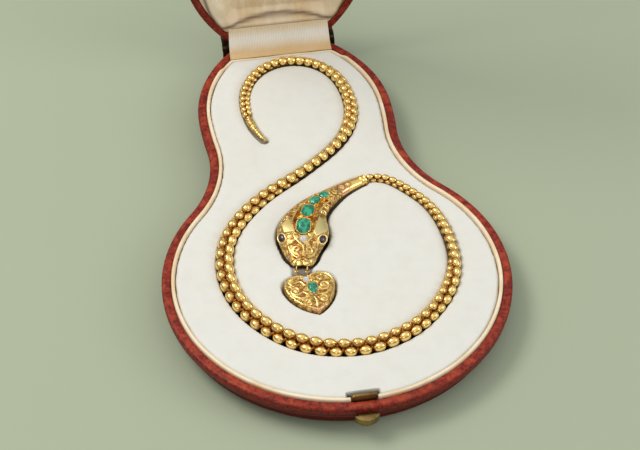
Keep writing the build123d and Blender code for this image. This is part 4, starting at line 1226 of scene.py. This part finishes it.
    @staticmethod
    def brow(head, gold):
        """Polished plates behind the eyes, ridges from the diamond and the small knob; plates and ridges carry a
        painted highlight, the knob painted shade.
        """
        made = []
        plates = (((-14.6, 17.2), (-11.1, 16.6), (-10.9, 18.6), (-12.0, 23.4), (-14.9, 21.0)),
                  ((-5.4, 15.4), (-4.7, 13.2), (-0.4, 16.8), (-0.2, 19.6), (-2.2, 22.4)))
        for corners in plates:
            lows = draped(head, corners, 0.15)
            if len(lows) < 5:
                raise ValueError("a brow plate's corner is off the head")
            lows = np.array(lows)
            middle = lows.mean(0)
            normal = np.linalg.svd(lows - middle)[2][2]
            normal = normal * np.sign(normal[2])
            flat_ = lows - np.outer((lows - middle) @ normal, normal)
            plate = loft("plate", [flat_ - normal * 1.0, flat_ + normal * 0.75])
            apply(plate, "BEVEL", width=0.0003, segments=3, limit_method="ANGLE")
            plate["pale"] = 0.9
            made.append(plate)
        for plan in (((-9.3, 10.6), (-7.0, 12.2), (-5.4, 14.4), (-4.8, 16.6)), ((-9.6, 10.6), (-11.2, 12.8), (-11.9, 15.2), (-11.6, 18.0)),
                     ((-6.6, 12.0), (-4.8, 11.6), (-3.4, 11.9)), ((-11.6, 13.0), (-13.0, 13.2), (-14.6, 14.0)),
                     ((-11.3, 21.8), (-9.9, 24.6), (-8.0, 28.0), (-4.6, 31.8), (-0.8, 35.4)),
                     ((-2.9, 22.4), (-1.6, 25.4), (0.6, 28.4), (3.2, 31.2), (5.2, 33.4))):
            points = draped(head, plan, 0.1)
            if len(points) > 2:
                ridge = wire("ridge", points, gold.wire * 1.5)
                ridge["pale"] = 0.35
                made.append(ridge)
        for x, y in ((-11.2, 24.9), (-1.9, 24.4)):
            lows = draped(head, [(x, y)], 0.2)
            if lows:
                alone()
                bpy.ops.mesh.primitive_uv_sphere_add(segments=16, ring_count=10, radius=0.6 * MM, location=Vector(lows[0]) * MM)
                knob = settle(bpy.context.object)
                # painted shade: the knob is browned through the Hollow layer
                knob["hollow"] = 0.9
                made.append(knob)
        return made

    @staticmethod
    def scroll_plans():
        """Plans of the scrolls on the snout, the crown's sides and the neck."""
        frame_ = laid(-10.4, 6.3, 0.0, HEAD_HEADING)
        plans = [spiral(2.0, 2.9, 1.5, 1.2, -100, 1), spiral(-2.0, 2.9, 1.5, 1.2, -80, -1), spiral(4.0, 6.0, 1.2, 1.1, 100, -1),
                 spiral(-4.0, 6.0, 1.2, 1.1, 80, 1), [(1.6, 0.0), (2.9, 0.8), (4.0, 2.6), (4.7, 4.4)],
                 [(-1.6, 0.0), (-2.9, 0.8), (-4.0, 2.6), (-4.7, 4.4)], [(0.0, 1.0), (0.5, 2.6), (0.0, 4.6), (-1.2, 5.6)]]
        plans = [world_points(frame_, plan)[:, :2] for plan in plans]
        for x, y, radius, start, hand in ((5.6, 35.0, 1.1, 30, 1), (8.4, 37.6, 1.0, 200, -1), (10.6, 38.9, 0.8, 20, 1),
                                          (3.6, 31.6, 1.1, 0, 1), (1.6, 28.6, 1.2, 40, 1), (0.2, 25.6, 1.1, 220, -1),
                                          (-9.6, 27.0, 1.0, 130, 1), (-6.8, 29.6, 0.9, 300, -1)):
            plans.append(spiral(x, y, radius, 1.2, start, hand))
        return plans

    @staticmethod
    def scrolls(head, gold, plans):
        """Raised wires along the scrolls."""
        made = []
        for plan in plans:
            points = draped(head, plan, 0.03)
            if len(points) > 2:
                scroll = wire("scroll", points, gold.wire * 1.3)
                scroll["pale"] = 0.4
                made.append(scroll)
        return made

    @staticmethod
    def neck(line, along):
        """The collar at the neck's end with its loop, and a bead above it."""
        x, y, _, top, bottom = line[-1]
        ahead = Vector((line[-1][0] - line[-6][0], line[-1][1] - line[-6][1], 0)).normalized()
        side = ahead.cross(Vector((0, 0, 1)))
        basis = Matrix((side, Vector((0, 0, 1)), ahead)).transposed().to_4x4()
        basis.translation = (x, y, PAD_Z + (top + bottom) / 2)
        turn = np.arange(40) * 2 * pi / 40
        rings = [[(r * cos(a), r * sin(a), z) for a in turn] for z, r in (
            (-0.7, 1.5), (-0.7, 1.85), (-0.45, 1.98), (0.2, 1.9), (0.45, 1.75), (0.6, 1.75), (0.9, 1.95), (1.2, 1.9), (1.4, 1.6),
            (1.42, 0.6))]
        collar = loft("collar", world_points(basis, np.array(rings)))
        middle, ahead_, side_, width, pitch = link_stance(CHAIN_START)
        out = middle - ahead_ * (pitch / 2 + 0.285 * width / 2)
        way = (side_ * -0.58 + ahead_.cross(side_) * -1.24).normalized()
        return [collar, link_ring(out, way, 0.75, 0.22)]


def link_stance(along):
    """A link's middle, way ahead, side, width and pitch, in millimetres."""
    _, width, pitch, turn = row_at(CHAIN_ROWS, along)
    spot, ahead = on_route(along)
    side = Matrix.Rotation(radians(turn), 3, ahead) @ Vector((0, 0, 1)).cross(ahead)
    return Vector((spot.x, spot.y, PAD_Z + CHAIN_RISE * width / 2)), ahead, side, width, pitch


def link_ring(middle, way, radius, thick):
    """A small round ring about a point, facing a way."""
    alone()
    bpy.ops.mesh.primitive_torus_add(major_segments=28, minor_segments=10, major_radius=radius * MM,
                                     minor_radius=thick * MM, location=Vector(middle) * MM,
                                     rotation=Vector(way).to_track_quat("Z", "Y").to_euler())
    return settle(bpy.context.object)


def eye_place(side):
    """Place of one eye's girdle, in millimetres."""
    base = laid(-9.05, 14.6, 3.1, HEAD_HEADING)
    facing = (base.to_3x3() @ Vector((side * 0.55, -0.4, 0.7))).normalized()
    back = base.to_3x3() @ Vector((0, 0, 1))
    along = facing.cross(back).normalized()
    up = along.cross(facing)
    place = Matrix((up, along, facing)).transposed().to_4x4()
    place.translation = base @ Vector((side * 6.5, 0, 0)) + facing * 0.35
    return place


class NECKLACE_OT_stones(bpy.types.Operator):
    """Emeralds and diamonds in a step cut, and domed garnet eyes"""

    bl_idname = "necklace.stones"
    bl_label = "Stones"

    def execute(self, context):
        gold = context.scene.necklace_gold
        emerald = stone_finish("emerald", tuple(gold.emerald), tint(0, 62, 44), tint(60, 224, 172), 0.0)
        diamond = stone_finish("diamond", tint(236, 236, 240), tint(176, 178, 190), tint(255, 255, 255), 0.3)
        garnet = stone_finish("garnet", tuple(gold.garnet), tint(20, 8, 14), tint(96, 60, 74), 0.0)
        for name, x, y, height, width, length_, heading, tilt in CROWN_STONES + HEART_STONES:
            gem = cut_stone(name + "_cut", laid(x, y, height, heading, tilt), width, length_)
            apply(gem, "BEVEL", width=0.00006, segments=1, limit_method="ANGLE", angle_limit=radians(20))
            slot = "emerald" if "emerald" in name else "diamond"
            dress(gem, emerald if slot == "emerald" else diamond, "case", slot, name)
        for side, end in ((-1, "left"), (1, "right")):
            place = eye_place(side)
            alone()
            bpy.ops.mesh.primitive_uv_sphere_add(segments=32, ring_count=20, radius=1.4 * MM)
            eye = bpy.context.object
            eye.matrix_world = Matrix.Translation((place @ Vector((0, 0, -0.1))) * MM) @ place.to_3x3().to_4x4() @ Matrix.Diagonal(
                (1.0, 1.22, 0.62, 1.0))
            settle(eye).name = "garnet_eye_" + end
            dress(smooth(eye, 60), garnet, "case", "garnet", "garnet_" + end)
        return {"FINISHED"}


class NECKLACE_OT_heart(bpy.types.Operator):
    """Heart drop with a raised border, scrolls, collets and eyelets"""

    bl_idname = "necklace.heart"
    bl_label = "Heart"

    def execute(self, context):
        gold = context.scene.necklace_gold
        place = laid(HEART_X, HEART_Y, 0.0, HEART_HEADING)
        loop = heart_loop()
        rows = [(0.02, 1.42), (0.2, 1.42), (0.4, 1.38), (0.6, 1.3), (0.74, 1.2), (0.83, 1.12), (0.862, 1.14), (0.885, 1.42),
                (0.92, 1.58), (0.955, 1.5), (0.985, 1.1), (1.0, 0.5), (1.005, -0.4), (0.99, -1.3), (0.95, -1.8), (0.5, -1.8)]
        fine = []
        for (r0, z0), (r1, z1) in zip(rows, rows[1:]):
            count = max(2, int(abs(r1 - r0) * 40))
            fine += [(r0 + (r1 - r0) * step / count, z0 + (z1 - z0) * step / count) for step in range(count)]
        fine.append(rows[-1])
        rings = [np.column_stack([loop * share, np.full(len(loop), height)]) for share, height in fine]
        heart = loft("heart_gold", world_points(place, np.array(rings)))
        points = points_of(heart)
        local = (points - np.array(place.translation)) @ np.array(place.to_3x3())
        size = np.hypot(local[:, 0], local[:, 1])
        tip = (1 - ease(local[:, 1], -8.0, -6.6)) * (local[:, 2] > 0.5)
        plans = [spiral(4.4, 1.7, 2.1, 1.4, 200, 1, lead=(1.6, -0.9)), spiral(-5.0, 1.4, 2.1, 1.4, -20, -1, lead=(-1.8, -1.2)),
                 spiral(2.8, -4.2, 1.5, 1.3, 120, -1, lead=(5.0, -1.6)), spiral(-2.4, -4.7, 1.5, 1.3, 60, 1, lead=(-5.2, -2.2)),
                 [(-6.6, 0.2), (-5.2, -2.0), (-3.2, -2.4), (-1.4, -2.2)], [(6.4, 0.6), (5.4, -1.4), (3.4, -2.2), (2.0, -2.0)],
                 [(-4.6, 4.6), (-3.2, 5.2), (-2.0, 4.4), (-1.9, 3.0)], [(0.1, -2.8), (0.4, -4.6), (0.0, -6.6)]]
        far, _ = nearest(local[:, :2], dense(plans))
        sunk = np.exp(-(((far - 0.72) / 0.3) ** 2)) * (local[:, 2] > 0.9) * (1 - ease(size, 6.8, 8.2))
        paint_layer(heart, "Rose", tip)
        paint_layer(heart, "Pale", 0.0)
        paint_layer(heart, "Smooth", (local[:, 2] > 1.45) * (size > 4) * 0.8)
        # painted shade in the Hollow layer: beside the scrolls and on the underside
        paint_layer(heart, "Hollow", np.clip(sunk * 0.8 + (local[:, 2] < 0.0) * 0.6, 0, 1))
        made = []
        for plan in plans:
            points = draped(heart, world_points(place, plan)[:, :2], 0.0)
            if len(points) > 2:
                scroll = wire("scroll", points, gold.wire * 1.75)
                scroll["pale"] = 0.4
                made.append(scroll)
        for x, y in ((4.4, 1.7), (-5.0, 1.4), (2.8, -4.2), (-2.4, -4.7), (3.2, 4.9), (1.9, 4.0)):
            spot = draped(heart, world_points(place, [(x, y)])[:, :2], 0.05)
            if spot:
                alone()
                bpy.ops.mesh.primitive_uv_sphere_add(segments=14, ring_count=8, radius=0.36 * MM, location=Vector(spot[0]) * MM)
                made.append(settle(bpy.context.object))
        for name, x, y, height, width, length_, heading, tilt in HEART_STONES:
            stand = laid(x, y, height, heading, tilt)
            made.append(collet(stand, width, length_, 0.7 * width))
            made += claws(stand, width, length_, gold.claw / MM * 0.9)
        snout = laid(-10.75, 4.7, 0.0, HEAD_HEADING)
        for side in (-1, 1):
            middle = snout @ Vector((side * 1.75, -1.6, 0))
            made.append(link_ring(middle, (0, 0, 1), 0.55, 0.16))
            stem = [snout @ Vector((side * 1.75, -1.6 - 0.7 - run, 0)) for run in (0.0, 1.0, 2.0, 3.2)]
            made.append(wire("stem", [tuple(p) for p in stem], 0.00018, 1.0))
        for extra in made:
            paint_layer(extra, "Smooth", 1.0)
            paint_layer(extra, "Hollow", 0.0)
            paint_layer(extra, "Rose", 0.0)
            paint_layer(extra, "Pale", extra.get("pale", 0.0))
        heart = joined([heart] + made, "heart_gold")
        dress(smooth(heart, 38), gold_finish("heart_gold", engraving=0.7, shine=0.2), "case", "gold", "heart_pendant")
        return {"FINISHED"}


class NECKLACE_OT_tail(bpy.types.Operator):
    """Ribbed tail tip with its loop and knob"""

    bl_idname = "necklace.tail"
    bl_label = "Tail tip"

    def execute(self, context):
        last, along = CHAIN_START, CHAIN_START
        while along <= CHAIN_END:
            last = along
            along += row_at(CHAIN_ROWS, along)[2]
        middle, ahead, side, width, pitch = link_stance(last)
        rings = []
        turn = np.arange(28) * 2 * pi / 28
        for distance in np.arange(2.2, 16.4, 0.16):
            radius = np.interp(distance, *zip(*TAIL_ROWS)) * (1 + 0.07 * sin(distance * 5.2)) * min(1, 0.45 + (distance - 2.2) * 1.2)
            spot, way = on_route(min(last + distance, CHAIN_ALONG[-1]))
            across = way.cross(Vector((0, 0, 1)))
            rings.append(np.array((spot.x, spot.y, middle.z)) + radius * (np.outer(np.cos(turn), across)
                                                                         + np.outer(np.sin(turn), (0, 0, 1))))
        tail = loft("tail_gold", rings)
        spot, way = on_route(CHAIN_ALONG[-1])
        alone()
        bpy.ops.mesh.primitive_uv_sphere_add(segments=20, ring_count=12, radius=0.72 * MM,
                                             location=Vector((spot.x, spot.y, middle.z)) * MM)
        knob = settle(bpy.context.object)
        out = middle + ahead * (pitch / 2 + 0.285 * width / 2)
        ring = link_ring(out, (side * 0.58 + ahead.cross(side) * -1.24).normalized(), 0.75, 0.22)
        tail = joined([tail, knob, ring], "tail_gold")
        for layer in ("Hollow", "Smooth", "Rose"):
            paint_layer(tail, layer, 0.35 if layer == "Smooth" else 0.0)
        dress(smooth(tail, 60), gold_finish("tail_gold", engraving=0.5, shine=0.18), "case", "gold", "tail_tip")
        plain = gold_finish("plain_gold")
        for node in ("mouth_ring_left", "mouth_ring_right", "throat_clasp"):
            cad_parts[node].data.materials.clear()
            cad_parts[node].data.materials.append(plain)
        return {"FINISHED"}


# ---------------------------------------------------------------- stage

class NECKLACE_OT_stage(bpy.types.Operator):
    """Plain floor, soft light and the camera"""

    bl_idname = "necklace.stage"
    bl_label = "Stage"

    def execute(self, context):
        stage = context.scene.necklace_stage
        alone()
        bpy.ops.mesh.primitive_plane_add(size=6.0, location=(0, 0.06, 0))
        floor = settle(context.object)
        floor.name = "floor"
        paper = Finish("floor", Specular_IOR_Level=0.2)
        shade = paper.mix(paper.noise(9, 2).spread(0.3, 0.7) * 0.08, tuple(stage.floor), tint(158, 168, 146))
        floor.data.materials.append(paper.done(Base_Color=shade, Roughness=0.85 + paper.noise(30) * 0.1))
        for name, spot, aim, size, power, shade in (
                ("key", (-0.5, 0.25, 0.8), (0, 0.04, 0), 0.5, stage.key, (255, 250, 242)),
                ("fill", (0.75, -0.25, 0.45), (0, 0.04, 0), 0.5, stage.fill, (255, 255, 255)),
                ("front", (-0.25, -0.8, 0.35), (0, 0.04, 0.02), 0.35, stage.fill * 0.3, (255, 252, 246))):
            alone()
            bpy.ops.object.light_add(type="AREA", location=spot)
            light = context.object
            light.name = name + "_light"
            light.data.shape = "RECTANGLE"
            light.data.size, light.data.size_y = size, size * 0.7
            light.data.energy = power
            light.data.color = tint(*shade)
            light.rotation_euler = (Vector(aim) - Vector(spot)).to_track_quat("-Z", "Y").to_euler()
        world = bpy.data.worlds.new("soft_room")
        context.scene.world = world
        world.use_nodes = True
        back = world.node_tree.nodes["Background"]
        back.inputs["Color"].default_value = (*tint(236, 238, 236), 1)
        links, nodes = world.node_tree.links, world.node_tree.nodes
        place, split, rise = (nodes.new(kind) for kind in (
            "ShaderNodeTexCoord", "ShaderNodeSeparateXYZ", "ShaderNodeMapRange"))
        links.new(place.outputs["Generated"], split.inputs[0])
        links.new(split.outputs["Z"], rise.inputs["Value"])
        rise.inputs["From Min"].default_value = 0.0
        rise.inputs["From Max"].default_value = 0.9
        rise.inputs["To Min"].default_value = stage.world * 0.12
        rise.inputs["To Max"].default_value = stage.world * 1.75
        links.new(rise.outputs[0], back.inputs["Strength"])
        context.scene.view_settings.view_transform = "Standard"
        camera = bpy.data.objects.new("camera", bpy.data.cameras.new("camera"))
        context.scene.collection.objects.link(camera)
        turn = Matrix(((0.9851, 0.1193, -0.1236), (-0.1718, 0.6842, -0.7088), (0.0, 0.7195, 0.6945)))
        camera.matrix_world = Matrix.Translation((-0.0703, -0.3709, 0.3970)) @ turn.normalized().to_4x4()
        camera.data.lens = stage.lens
        camera.data.sensor_width = 36.0
        camera.data.clip_start = 0.01
        context.scene.camera = camera
        return {"FINISHED"}


PIECES = (
    NECKLACE_OT_stage, NECKLACE_OT_leather_base, NECKLACE_OT_leather_lid, NECKLACE_OT_silk_edge, NECKLACE_OT_velvet_pad,
    NECKLACE_OT_satin_lining, NECKLACE_OT_ribbon, NECKLACE_OT_fittings, NECKLACE_OT_chain, NECKLACE_OT_snake_head,
    NECKLACE_OT_stones, NECKLACE_OT_heart, NECKLACE_OT_tail,
)


class NECKLACE_PT_panel(bpy.types.Panel):
    """Lists the pieces of the necklace and its case"""

    bl_label = "Snake necklace"
    bl_idname = "NECKLACE_PT_panel"
    bl_space_type = "VIEW_3D"
    bl_region_type = "UI"
    bl_category = "Necklace"

    def draw(self, context):
        for group in (context.scene.necklace_case, context.scene.necklace_gold, context.scene.necklace_stage):
            for key in group.__annotations__:
                self.layout.prop(group, key)
        for piece in PIECES:
            self.layout.operator(piece.bl_idname)


CLASSES = (CaseSettings, GoldSettings, StageSettings, *PIECES, NECKLACE_PT_panel)


def register():
    """Make the classes and the scene's settings known to Blender."""
    for made in CLASSES:
        bpy.utils.register_class(made)
    bpy.types.Scene.necklace_case = bpy.props.PointerProperty(type=CaseSettings)
    bpy.types.Scene.necklace_gold = bpy.props.PointerProperty(type=GoldSettings)
    bpy.types.Scene.necklace_stage = bpy.props.PointerProperty(type=StageSettings)


def unregister():
    """Take them back."""
    del bpy.types.Scene.necklace_case, bpy.types.Scene.necklace_gold, bpy.types.Scene.necklace_stage
    for made in reversed(CLASSES):
        bpy.utils.unregister_class(made)


def main():
    """Build everything in order."""
    register()
    for piece in PIECES:
        group, name = piece.bl_idname.split(".")
        getattr(getattr(bpy.ops, group), name)()
    bpy.context.view_layer.update()


if __name__ == "__main__":
    main()
